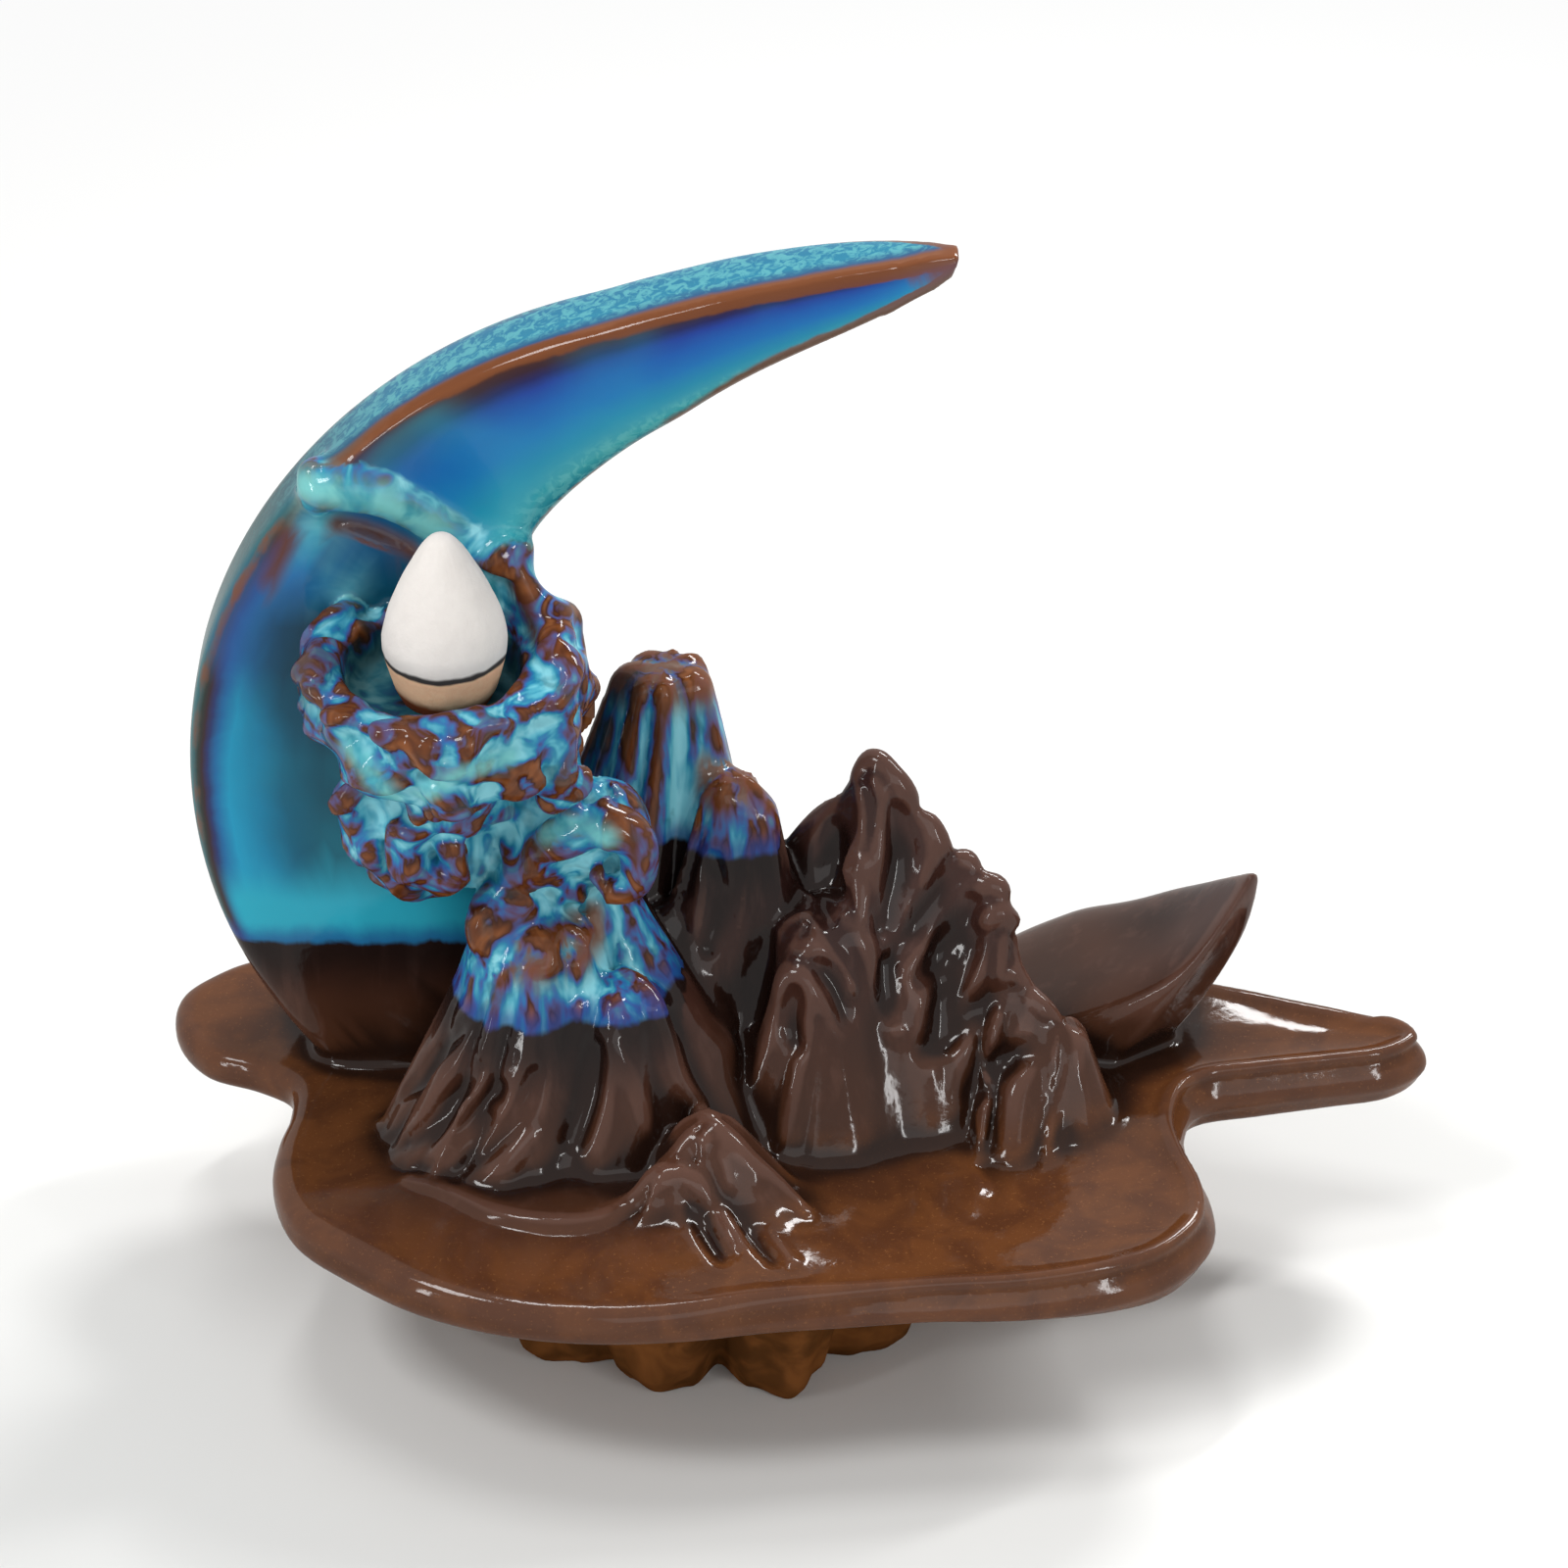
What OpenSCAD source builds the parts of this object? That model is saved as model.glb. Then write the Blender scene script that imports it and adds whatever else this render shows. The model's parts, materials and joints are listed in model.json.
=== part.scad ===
// Backflow incense burner: one glazed ceramic casting (crescent moon, cloud
// bowl, mountains, leaf-shaped plate on a rocky foot) and one incense cone.
// Millimetres. Z = 0 is the table, the camera side is -Y.

/* [Plate] */
// Plate width from lobe to lobe
plate_w = 158; // [140:1:180]
// Plate depth from front edge to back edge
plate_d = 81; // [70:0.5:95]
// Height of the plate's upper face above the table
plate_top = 27.6; // [22:0.2:36]
// Thickness of the rounded plate edge
edge_t = 5.4; // [4:0.2:8]
// Depth of the pool that gathers the smoke
pool_depth = 2.2; // [1:0.2:3]
// Height of the raised lip on the right and front
lip_h = 1.3; // [0.4:0.1:2.5]

/* [Moon] */
// Radius of the moon's outer edge
moon_r = 66; // [58:0.5:74]
// Deepest part of the moon, front face to back
moon_t = 24; // [18:0.5:30]
// Front face of the moon, measured back from the middle of the plate
moon_face = 8.5; // [4:0.5:14]

/* [Bowl and clouds] */
// Bowl that holds the cone, across the top of its rounded rim
bowl_d = 23.5; // [20:0.5:28]
// Depth of the bowl
bowl_depth = 5.4; // [4:0.2:8]
// Wall and puffs round the bowl
bowl_wall = 4.6; // [3.5:0.1:6.5]
// Smoke hole in the bowl floor
hole_d = 4; // [3:0.1:5]

/* [Mountains] */
// Height of the tallest brown peak above the plate
peak_h = 41; // [34:0.5:50]
// Depth of the ribs on the flanks, as a share of the radius
rib = 0.2; // [0.05:0.01:0.3]

/* [Foot] */
// Width of the rocky foot on the table
foot_w = 56; // [44:1:70]
// Depth of the rocky foot on the table
foot_d = 50; // [40:1:60]
// Depth of the hollow cast into the underside
hollow = 19; // [8:0.5:20]

/* [Incense cone] */
// Widest diameter of the cone
cone_d = 14.8; // [12:0.1:18]
// Height of the cone
cone_h = 21.6; // [16:0.2:30]
// Diameter where the cone stands
cone_foot_d = 10.8; // [8:0.1:14]
// Smoke bore up the middle of the cone
bore_d = 2.4; // [1.6:0.1:3.2]

/* [Hidden] */
sx = plate_w / 158;
sy = plate_d / 81;
sz = peak_h / 41;
moon_x = -6.7 * sx;
moon_z = plate_top + 0.6 * moon_r;
mid = [-8 * sx, 0];
bowl_r = bowl_d / 2;
// bowl centre, at its rim: on the moon's face, up and to the left
bowl = [moon_x + 0.685 * moon_r * cos(142), moon_face - 0.94 * bowl_r,
        moon_z + 0.685 * moon_r * sin(142)];
floor_z = bowl[2] - bowl_depth;
cone_at = [bowl[0] + 1.1, bowl[1], floor_z];
// how deep the mountains and the rock reach into the plate, and how far the
// plate's underside swells below its edge
root = 4.2;
belly = 5.4;
clay = [0.36, 0.23, 0.18];
ash = [0.82, 0.76, 0.68];

// Plate outline, anticlockwise from the back left, for a 158 x 81 plate
edge = [[-69.5, 34.5], [-75.5, 30.5], [-79, 25.5], [-78.5, 18.5], [-74.5, 12.5],
        [-68, 9.5], [-63.5, 6], [-63, 0.5], [-64, -5.5], [-64, -13.5], [-61, -22],
        [-54.5, -28.5], [-45.5, -35], [-35, -39], [-24.5, -40.5], [-13.5, -40],
        [-4, -38.5], [6.5, -37.5], [16, -36.5], [27, -35.5], [37, -33],
        [44.5, -29], [49.5, -22], [50, -14.5], [48, -6.5], [47.5, -0.5], [50, 5],
        [57.5, 7], [66.5, 9], [74.5, 11], [79, 15.5], [77, 20.5], [70, 24],
        [61.5, 26.5], [48, 30.5], [30, 35], [8, 39], [-16, 40.5], [-40, 40],
        [-57, 38]];

// Moon: distance of the outer and inner line from the centre by angle
// (degrees from the right), and depth front to back, as shares
moon_out = [[71, 1.18], [74, 1.152], [77, 1.12], [86, 1.058], [96, 1.018],
            [104, 1], [130, 1.008], [165, 1.02], [195, 1.016], [230, 1], [340, 1],
            [349, 0.98]];
moon_in = [[71, 1.145], [72.5, 1.095], [75.7, 1.024], [80, 0.958], [85.2, 0.898],
           [91, 0.842], [97.8, 0.782], [110, 0.717], [126, 0.645], [145, 0.57],
           [165, 0.52], [190, 0.49], [220, 0.49], [250, 0.53], [280, 0.62],
           [305, 0.71], [322, 0.79], [328, 0.837], [334, 0.886], [342, 0.926],
           [346.5, 0.952], [349, 0.958]];
moon_dep = [[71, 0.16], [73, 0.25], [77, 0.42], [86, 0.56], [96, 0.6],
            [120, 0.66], [150, 0.74], [180, 0.86], [210, 1], [290, 1.1],
            [315, 1.26], [322, 1.2], [328, 1.04], [334, 0.9], [342, 0.54],
            [346.5, 0.3], [349, 0.14]];

function unit(v) = v / max(norm(v), 0.001);
function bump(x, y, c, s) =
    exp(-pow((x - c[0] * sx) / (s[0] * sx), 2) - pow((y - c[1] * sy) / (s[1] * sy), 2));
// one smooth point between p1 and p2
function spline(p0, p1, p2, p3, t) =
    0.5 * (2 * p1 + (p2 - p0) * t + (2 * p0 - 5 * p1 + 4 * p2 - p3) * t * t
           + (3 * p1 - p0 - 3 * p2 + p3) * t * t * t);
function smooth(p, k) = let (n = len(p))
    [for (i = [0:n - 1], j = [0:k - 1])
        spline(p[(i + n - 1) % n], p[i], p[(i + 1) % n], p[(i + 2) % n], j / k)];
function open_smooth(p, k) = let (n = len(p))
    [for (i = [0:n - 2], j = [0:k - 1])
        spline(p[max(i - 1, 0)], p[i], p[i + 1], p[min(i + 2, n - 1)], j / k), p[n - 1]];
function inset(p, d) = let (n = len(p))
    [for (i = [0:n - 1]) let (e = unit(p[(i + 1) % n] - p[(i + n - 1) % n]))
        p[i] - d * [e[1], -e[0]]];

// Closed skin over rings of points, with a point at each end
module skin(rings, start, stop) {
    n = len(rings[0]);
    m = len(rings);
    points = [start, for (r = rings) each r, stop];
    faces = concat(
        [for (j = [0:n - 1]) [0, 1 + j, 1 + (j + 1) % n]],
        [for (i = [0:m - 2], j = [0:n - 1])
            [1 + i * n + j, 1 + (i + 1) * n + j, 1 + i * n + (j + 1) % n]],
        [for (i = [0:m - 2], j = [0:n - 1])
            [1 + i * n + (j + 1) % n, 1 + (i + 1) * n + j,
             1 + (i + 1) * n + (j + 1) % n]],
        [for (j = [0:n - 1])
            [1 + m * n, 1 + (m - 1) * n + (j + 1) % n, 1 + (m - 1) * n + j]]);
    // turn the faces outwards whichever way the rings run
    sum = [for (f = faces) (points[f[0]] - start)
        * cross(points[f[1]] - start, points[f[2]] - start)] * [for (f = faces) 1];
    polyhedron(points, sum > 0 ? [for (f = faces) [f[0], f[2], f[1]]] : faces,
        convexity = 6);
}

// Upper face of the plate: gently crowned, with the pool, its banks and the
// soft mound at the front left
function face(x, y) = plate_top - 0.7 * pow(norm([x / plate_w, y / plate_d]), 2)
    - pool_depth * bump(x, y, [17, -12], [24, 13])
    + 3.4 * bump(x, y, [-33, -19], [24, 13])
    + 1.6 * bump(x, y, [-8, -24], [11, 9])
    - 0.8 * bump(x, y, [66, 18], [9, 6]);
// Lip: full on the right lobe and along the front right
function lip(x, y) = lip_h * max(0, min(1, 1 - (5 * sx - x) / (30 * sx)))
    * (y > 20 * sy ? 0.4 : 1);
// Edge gets deeper towards the right
function drop(x) = 2.6 * max(0, min(1, (x / sx - 15) / 30));

module plate() {
    o = smooth([for (p = edge) [p[0] * sx, p[1] * sy]], 2);
    inner = inset(o, 5.5);
    low = plate_top - edge_t;
    // ring: [inset from the edge, height below or above the middle of the edge]
    rings = [
        for (s = [0.48, 0.78]) [for (p = inner) let (q = mid + s * (p - mid))
            [q[0], q[1], low - belly * (1 - s * s) - drop(p[0]) * s]],
        [for (p = inset(o, 3.4)) [p[0], p[1], low - 0.2 - drop(p[0])]],
        [for (p = inset(o, 0.9)) [p[0], p[1], low + 0.22 * edge_t - 0.95 * drop(p[0])]],
        [for (p = o) [p[0], p[1], low + 0.56 * edge_t - 0.5 * drop(p[0])]],
        [for (p = inset(o, 0.7)) [p[0], p[1], plate_top - 0.9 + lip(p[0], p[1])]],
        [for (p = inset(o, 2.4)) [p[0], p[1],
            face(p[0], p[1]) + lip(p[0], p[1])]],
        [for (p = inner) [p[0], p[1], face(p[0], p[1])]],
        for (s = [0.84, 0.62, 0.34]) [for (p = inner)
            let (q = mid + s * (p - mid)) [q[0], q[1], face(q[0], q[1])]]
    ];
    skin(rings, [mid[0], mid[1], low - belly], [mid[0], mid[1], face(mid[0], mid[1])]);
}

module moon() {
    a0 = 72;
    a1 = 348.9;
    n = 47;
    k = 14;
    // sections close up towards the two tips
    spread = [for (i = [0:n]) let (t = i / n) a0 + (a1 - a0) * (t - 0.075 * sin(360 * t))];
    rings = [for (a = spread) let (
            ro = moon_r * lookup(a, moon_out), ri = moon_r * lookup(a, moon_in),
            w = (ro - ri) / 2, h = moon_t * lookup(a, moon_dep) / 2, c = (ro + ri) / 2)
        [for (j = [0:k - 1]) let (b = 360 * j / k + 12.86,
                u = sign(cos(b)) * pow(abs(cos(b)), 0.5),
                v = sign(sin(b)) * pow(abs(sin(b)), 0.5),
                r = c + w * u,
                dish = v < -0.5 ? 0.05 * w * (1 - u * u) : 0)
            [moon_x + r * cos(a), moon_face + h + h * v + dish, moon_z + r * sin(a)]]];
    function tip(a, f) = [moon_x + moon_r * f * cos(a),
        moon_face + moon_t * lookup(a, moon_dep) / 2, moon_z + moon_r * f * sin(a)];
    difference() {
        skin(rings, tip(71.6, 1.168), tip(349.5, 0.968));
        // what the plate and the rock would hide is left off
        translate([-plate_w / 2, 0, -moon_r / 2])
            cube([plate_w, plate_d, moon_r / 2 + plate_top - root - 0.7]);
    }
}

// One mountain: ribbed flanks that flare into a skirt
// foot [x, y], top [x, y, z], size [half width, half depth], cap radius
module peak(foot, top, size, cap, ribs, flare = 1.1, seed = 0, deep = 1,
            twist = 20, low = plate_top - root) {
    k = ribs * 4;
    f = [foot[0] * sx, foot[1] * sy];
    g = [top[0] * sx, top[1] * sy];
    zt = plate_top + (top[2] - plate_top) * sz;
    rings = [for (t = [0, 0.16, 0.34, 0.52, 0.7, 0.86, 0.97]) [for (j = [0:k - 1]) let (
            // four lines to each rib: valley, flank, crest, flank
            h = [-1, 0.15, 1, 0.25][j % 4] * (1 + 0.45 * sin(137 * floor(j / 4) + seed)),
            a = 360 * (j + 1.3 * sin(720 * j / k + seed)) / k,
            b = a + twist * (1 - t) * sin(a),
            r = 1 + deep * rib * h * (t > 0.9 ? 0.5 : 0.55 + 0.45 * sin(180 * t)),
            q = pow(1 - t, flare),
            rx = (cap + (size[0] - cap) * q) * r * (t > 0.9 ? 0.72 : 1),
            ry = (cap * 0.85 + (size[1] - cap * 0.85) * q) * r * (t > 0.9 ? 0.72 : 1),
            c = f + (g - f) * (1 - pow(1 - t, 1.3)))
        [c[0] + rx * cos(b), c[1] + ry * sin(b),
         low + (zt - low) * t + (t > 0.9 ? 0.5 * h : 0)]]];
    skin(rings, [f[0], f[1], low], [g[0], g[1], zt]);
}

// Crest that runs from peak to peak, with ribbed flanks front and back
// crest: list of [x, y, z]; front and back: how far the flanks reach in depth
module ridge(crest, front, back, ribs, seed = 0, lean = 5, low = plate_top - root) {
    c = open_smooth([for (p = crest) [p[0] * sx, p[1] * sy,
        plate_top + (p[2] - plate_top) * sz]], 2);
    n = len(c);
    up = [0, 0.2, 0.42, 0.64, 0.84, 0.95];
    rings = [for (i = [0:n - 1]) let (p = c[i], u = i / (n - 1),
            g = 2 * abs(sin(180 * ribs * u + seed)) - 1.2)
        concat(
            [[p[0], p[1] + back, low]],
            [for (t = up) let (v = 1 - t, r = 2.2 * g * sin(180 * min(1, t + 0.2)))
                [p[0] - lean * v + 1.5 * v * sin(seed + 90 * t),
                 p[1] - 1.4 - front * pow(v, 1.15) - r, low + (p[2] - low) * t]],
            [[p[0], p[1], p[2]]],
            [for (t = [0.93, 0.7, 0.35]) let (v = 1 - t)
                [p[0], p[1] + 1.2 + (back - 1.2) * v + 0.7 * g, low + (p[2] - low) * t]])];
    e = c[n - 1];
    skin(rings, [c[0][0] - 2, c[0][1], (low + c[0][2]) / 2],
         [e[0] + 1.5, e[1], (low + e[2]) / 2]);
}

module mountains() {
    // tallest brown peak and the crest that steps down to the lower horn
    ridge([[-9, 17, 50], [-3.2, 17, 55.6], [2.5, 16.5, 61.4], [6.6, 16, 66.4],
           [10.1, 15, 69.4], [13.4, 14, 64.9], [17.2, 13, 61.1], [20.5, 12, 56.4],
           [25, 10, 53.2], [26.9, 8, 46], [29.5, 6, 40.5], [34, 4, 36]],
          14, 14, 8, seed = 30);
    peak([9, 7], [8.6, 13, 60], [16, 14], 3.6, 6, flare = 1, seed = 20);
    peak([32.5, 1], [32, 5, 37.5], [9, 8], 3, 5, flare = 1.1, seed = 10);
    // saddle down to the double hump at the front
    ridge([[-7, 16, 48], [-3, 15, 54], [0, 11.5, 53.6], [3, 8, 52], [6.5, 6, 48],
           [10, 4, 42]], 10, 6, 4, seed = 50, lean = 3);
    peak([2.2, 1], [2, 7, 52.6], [13, 12], 4.4, 7, seed = 60);
    peak([0.5, -1], [1.2, 3, 47.6], [11.5, 10], 4.2, 6, seed = 0);
    // blue-topped pair beside the bowl
    peak([-20, 19], [-16.2, 20.5, 79.2], [19, 15], 5.2, 7, flare = 1, seed = 30);
    peak([-10, 10], [-8.6, 14, 68], [16, 14], 3.2, 6, seed = 100);
    peak([-8, 11], [-5.8, 13, 65], [13, 12], 2.8, 6, seed = 10);
    // spur along the channel
    ridge([[-6, 9, 47], [-12, 9.5, 53], [-17, 9, 52], [-21.5, 8, 48.5], [-24, 8, 42]],
          5, 9, 4, lean = -3, seed = 0);
    // front left mountain with its second hump
    peak([-35, -8], [-32, -2.6, 56.8], [18, 15], 6.6, 8, seed = 50);
    peak([-23, -9], [-22, -5.6, 51], [13, 11], 5, 7, seed = 120);
    // small peaks before it
    peak([-8.5, -20], [-11.3, -15.5, 37.8], [14, 9.5], 3.2, 6, seed = 15, deep = 1.3);
    peak([-14, -23], [-15.6, -20, 34.6], [9, 7], 2.6, 5, seed = 70, deep = 1.3);
    // ramp the smoke runs down, from the clouds to the pool
    hull() {
        translate([-25 * sx, 5 * sy, plate_top + 26]) sphere(6, $fn = 10);
        translate([-14 * sx, 0, plate_top + 8]) sphere(6, $fn = 10);
        translate([-10 * sx, -6 * sy, plate_top - 3]) sphere(6, $fn = 10);
        translate([-30 * sx, 8 * sy, plate_top]) sphere(6, $fn = 10);
    }
}

// Rocky foot: a ribbed mountain upside down, cut flat where it stands
foot_at = [-11 * sx, 3 * sy];
module rock() {
    k = 44;
    // level: [height, spread]
    levels = [[0, 0.9], [0.14, 1], [0.42, 1.08], [0.72, 1.2], [1, 1.34]];
    rings = [for (l = levels) [for (j = [0:k - 1]) let (
            h = [-1, 0.2, 1, 0.2][j % 4] * (1 + 0.4 * sin(137 * floor(j / 4) + 74)),
            b = 360 * (j + 0.4 * sin(720 * j / k + 40)) / k + 10.8,
            r = l[1] * (1 + (0.13 - 0.05 * l[0]) * h))
        [foot_at[0] + foot_w / 2 * r * cos(b), foot_at[1] + foot_d / 2 * r * sin(b),
         l[0] * (plate_top - root)]]];
    skin(rings, [foot_at[0], foot_at[1], 0],
         [foot_at[0], foot_at[1], plate_top - root]);
}

// Hollow in the underside, left by the mould core
module core() {
    translate([foot_at[0], foot_at[1], -0.01]) scale([foot_w * 0.31, foot_d * 0.3, 1])
        cylinder(r1 = 1, r2 = 0.72, h = hollow, $fn = 36);
}

module puff(p, r, s = [1, 1, 1]) {
    translate(bowl + p) scale(s) hull() {
        sphere(r, $fn = 9);
        translate([0, 0.5 * r, 0]) sphere(r * 0.8, $fn = 6);
    }
}

// Rolled fold of cloud along a line of [x, y, z, radius], from the bowl centre
module fold(line, flat = 1.15) {
    k = 6;
    p = open_smooth(line, 2);
    n = len(p);
    function at(i) = bowl + [p[i][0], p[i][1], p[i][2]];
    rings = [for (i = [0:n - 1]) let (
            t = unit(at(min(i + 1, n - 1)) - at(max(i - 1, 0))),
            s = unit(cross(t, [0, 1, 0])), r = p[i][3] * (i == 0 || i == n - 1 ? 0.6 : 1))
        [for (j = [0:k - 1]) let (b = 360 * j / k + 30)
            at(i) + r * cos(b) * s + [0, flat * r * sin(b), 0]]];
    skin(rings, at(0), at(n - 1));
}

module clouds() {
    // bowl body
    translate([bowl[0], bowl[1], bowl[2] - 15]) scale([1, 0.95, 1]) {
        cylinder(r1 = bowl_r, r2 = bowl_r + bowl_wall * 0.8, h = 12.4, $fn = 28);
        translate([0, 0, 12.39])
            cylinder(r1 = bowl_r + bowl_wall * 0.8, r2 = bowl_r + bowl_wall * 0.5,
                     h = 2.4, $fn = 28);
    }
    // rolls round the rim, one under the other
    // [start angle, end angle, out from the rim, height, radius]
    for (q = [[136, 400, 2.7, -1.6, 2.1], [160, 390, 2, -5.6, 2.4],
              [190, 350, 1.2, -9, 2.5]])
        fold([for (i = [0:9]) let (a = q[0] + (q[1] - q[0]) * i / 9, u = 197 * i + q[0],
                r = bowl_r + q[2] + 0.9 * sin(u))
            [r * cos(a), 0.95 * r * sin(a),
             q[3] + (i % 2 == 0 ? 1.2 : -1.2) * abs(sin(u)), q[4] + 0.6 * sin(u * 1.3)]]);
    // puffs that break the rolls: [angle, height, size]
    for (q = [[178, -3.4, 1], [214, -1.6, 0.85], [248, -4, 1.05], [300, -3, 1],
              [338, -4.4, 0.95]])
        puff([(bowl_r + 2.6) * cos(q[0]), 0.95 * (bowl_r + 2.6) * sin(q[0]), q[1]],
             bowl_wall * 0.68 * q[2]);
    // body behind the lower scrolls
    puff([-1, 2, -17], 9.5, [1.1, 0.8, 1]);
    puff([-2, 4, -27], 9, [1, 0.6, 1]);
    puff([15, 4, -27], 9.5, [1, 0.7, 0.9]);
    puff([12, 6, -13], 8, [0.9, 0.8, 1.2]);
    // folds and scrolls on the front
    fold([[-10, -3.5, -7.2, 2.4], [-8.6, -5.5, -10, 3.1], [-5.3, -7.5, -10.7, 3.2],
          [-1.7, -9.5, -8.8, 3], [0.7, -10.5, -5.4, 2.2]]);
    fold([[3, -11, -5.5, 2.4], [6.3, -10.5, -6.8, 3], [9.6, -8.5, -6.7, 3.2],
          [12.9, -6, -8.7, 3], [15.6, -3, -8.6, 2.2]]);
    fold([[-1, -7.5, -16.4, 2], [3.9, -9.5, -11.8, 2.6], [8.4, -9, -10.8, 2.8],
          [12.8, -6.5, -11.8, 2.6], [15.4, -4.5, -14.4, 2.2], [13, -5.5, -16.2, 1.5]]);
    fold([[-11.3, 0, -13.2, 2], [-12.2, -1, -18, 2.6], [-11.4, -1.5, -21.9, 2.7],
          [-9.5, -1.5, -26, 2.4], [-6.7, -1, -29.9, 2], [-3.8, 1, -33.3, 1.5]]);
    fold([[3.1, -4.5, -19.8, 1.6], [-0.6, -4.8, -18.4, 2], [-3.8, -4.8, -21.2, 2.1],
          [-4, -4.3, -26.1, 2], [-1, -3.6, -28.8, 1.9], [2, -4, -26.5, 1.7],
          [1.2, -4.6, -23, 1.5]]);
    // breaking wave at the head of the channel
    fold([[7.4, 1, -33.3, 2.2], [10.4, -0.5, -28.4, 2.6], [14.1, -2.5, -23.3, 2.9],
          [18, -3.5, -21.4, 2.9], [21.6, -3.5, -22.2, 2.7], [23.2, -3.5, -25, 2.4],
          [22.8, -3.5, -29, 2.1], [20.2, -3.5, -30.4, 1.8], [18.2, -3.5, -28.8, 1.4]]);
    fold([[10.3, 0, -32.2, 2], [6.9, -1.5, -33.4, 2.3], [4.8, -2.5, -35.5, 2.4],
          [5, -2.5, -38.8, 2.1], [7.8, -1.5, -40.5, 1.6]]);
    // right side of the bowl and the tail on the moon behind the cone
    fold([[10.6, 9.5, 5, 2], [12.9, 7.5, 2, 2.6], [14.2, 4.5, -1, 2.7],
          [14.3, 2, -5, 2.8], [14, 2.5, -10, 2.6], [13.6, 1.5, -15.2, 1.8]]);
    fold([[-14.5, 11.5, 19.4, 1.6], [-15.3, 11, 15.2, 2.4], [-11.5, 10.8, 15.8, 2.4],
          [-6.4, 10.8, 15.5, 2], [-2, 10.8, 13.2, 1.9], [2.4, 10.8, 9.5, 1.8],
          [7.5, 10.8, 5.5, 1.5]]);
}

// Smoke passage from the bowl floor down and out through the mouth in front
module passage() {
    stops = [cone_at - bowl + [0, 0, 1], [4, -2, -12.5], [9.5, -13, -17]];
    for (i = [0:1]) hull() {
        translate(bowl + stops[i]) sphere(d = hole_d, $fn = 10);
        translate(bowl + stops[i + 1]) sphere(d = hole_d + i, $fn = 10);
    }
}

// Inside of the bowl: a shallow cup, a little to the left of the cone
module cup() {
    translate([bowl[0] - 0.5, bowl[1], floor_z]) {
        cylinder(r1 = bowl_r * 0.82, r2 = bowl_r * 0.92, h = bowl_depth + 0.01, $fn = 32);
        translate([0, 0, bowl_depth])
            cylinder(r = bowl_r * 0.92, h = 6, $fn = 32);
    }
}

module burner() {
    color(clay) difference() {
        union() {
            plate();
            moon();
            mountains();
            rock();
            clouds();
        }
        core();
        passage();
        cup();
    }
}

module incense_cone() {
    color(ash) translate(cone_at) difference() {
        rotate_extrude($fn = 32) polygon([[0, 0], [cone_foot_d / 2, 0],
            [cone_d / 2 - 0.5, cone_h * 0.24], [cone_d / 2, cone_h * 0.34],
            [cone_d / 2 * 0.97, cone_h * 0.42], [cone_d / 2 * 0.8, cone_h * 0.62],
            [cone_d / 2 * 0.5, cone_h * 0.83], [cone_d / 2 * 0.24, cone_h * 0.95],
            [0, cone_h]]);
        translate([0, 0, -0.01]) cylinder(d = bore_d, h = cone_h * 0.42, $fn = 16);
    }
}

burner();
incense_cone();
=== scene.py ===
# %% [markdown]
# # A backflow incense burner
# The real burner is slip cast in one piece, carved with clouds and peaks,
# and dipped in two glazes that run into each other in the kiln. Here it is
# sculpted the same way: soft forms are pressed together in a block of
# samples, the block becomes one skin, and the glaze is a material that knows
# where the skin is sharp, where it is hollow, and how high it stands.

# %% Load the frame
import functools
import json
import math
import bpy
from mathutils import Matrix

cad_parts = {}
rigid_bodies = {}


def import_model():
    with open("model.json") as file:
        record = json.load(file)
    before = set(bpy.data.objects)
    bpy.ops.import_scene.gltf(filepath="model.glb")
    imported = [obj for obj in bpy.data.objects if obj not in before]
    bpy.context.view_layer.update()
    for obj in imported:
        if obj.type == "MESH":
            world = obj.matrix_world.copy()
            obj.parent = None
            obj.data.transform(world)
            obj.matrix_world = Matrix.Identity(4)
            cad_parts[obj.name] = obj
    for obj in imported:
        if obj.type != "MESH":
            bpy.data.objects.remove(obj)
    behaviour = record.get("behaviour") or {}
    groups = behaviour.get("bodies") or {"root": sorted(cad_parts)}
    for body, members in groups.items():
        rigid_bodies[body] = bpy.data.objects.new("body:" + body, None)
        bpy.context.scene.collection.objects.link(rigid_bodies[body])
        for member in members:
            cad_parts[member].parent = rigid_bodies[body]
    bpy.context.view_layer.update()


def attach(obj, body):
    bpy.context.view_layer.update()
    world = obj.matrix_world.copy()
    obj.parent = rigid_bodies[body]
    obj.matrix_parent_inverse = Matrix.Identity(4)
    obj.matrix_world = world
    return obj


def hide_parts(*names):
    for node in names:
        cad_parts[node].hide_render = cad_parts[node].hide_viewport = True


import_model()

from types import SimpleNamespace
import bpy
import numpy as np
import openvdb as vdb
from mathutils import Vector

# %% [markdown]
# ## The camera
# The photograph looks down at the burner by 33 degrees from straight in
# front, with a long lens. From 65 centimetres away such a lens keeps the
# plate's curves calm, so the same distance and angle are used here. The
# camera comes first, because some lines are drawn from where it stands.

# %% Camera
MM = 0.001
AIM = (-2, 8.5, 70)          # the point the camera looks at, mm
DISTANCE = 650               # mm
LIFT = math.radians(33)
LENS, SENSOR = 124.3, 36     # mm, on a square sensor


def place_camera():
    """Camera straight in front, lifted above the table."""
    camera = bpy.data.objects.new("camera", bpy.data.cameras.new("camera"))
    bpy.context.scene.collection.objects.link(camera)
    camera.location = (AIM[0] * MM, (AIM[1] - DISTANCE * math.cos(LIFT)) * MM,
                       (AIM[2] + DISTANCE * math.sin(LIFT)) * MM)
    camera.rotation_euler = (math.pi / 2 - LIFT, 0, 0)
    camera.data.lens = LENS
    camera.data.sensor_width = SENSOR
    camera.data.clip_start = 0.01
    bpy.context.scene.camera = camera
    return camera


place_camera()
print("camera at", DISTANCE, "mm")

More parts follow.
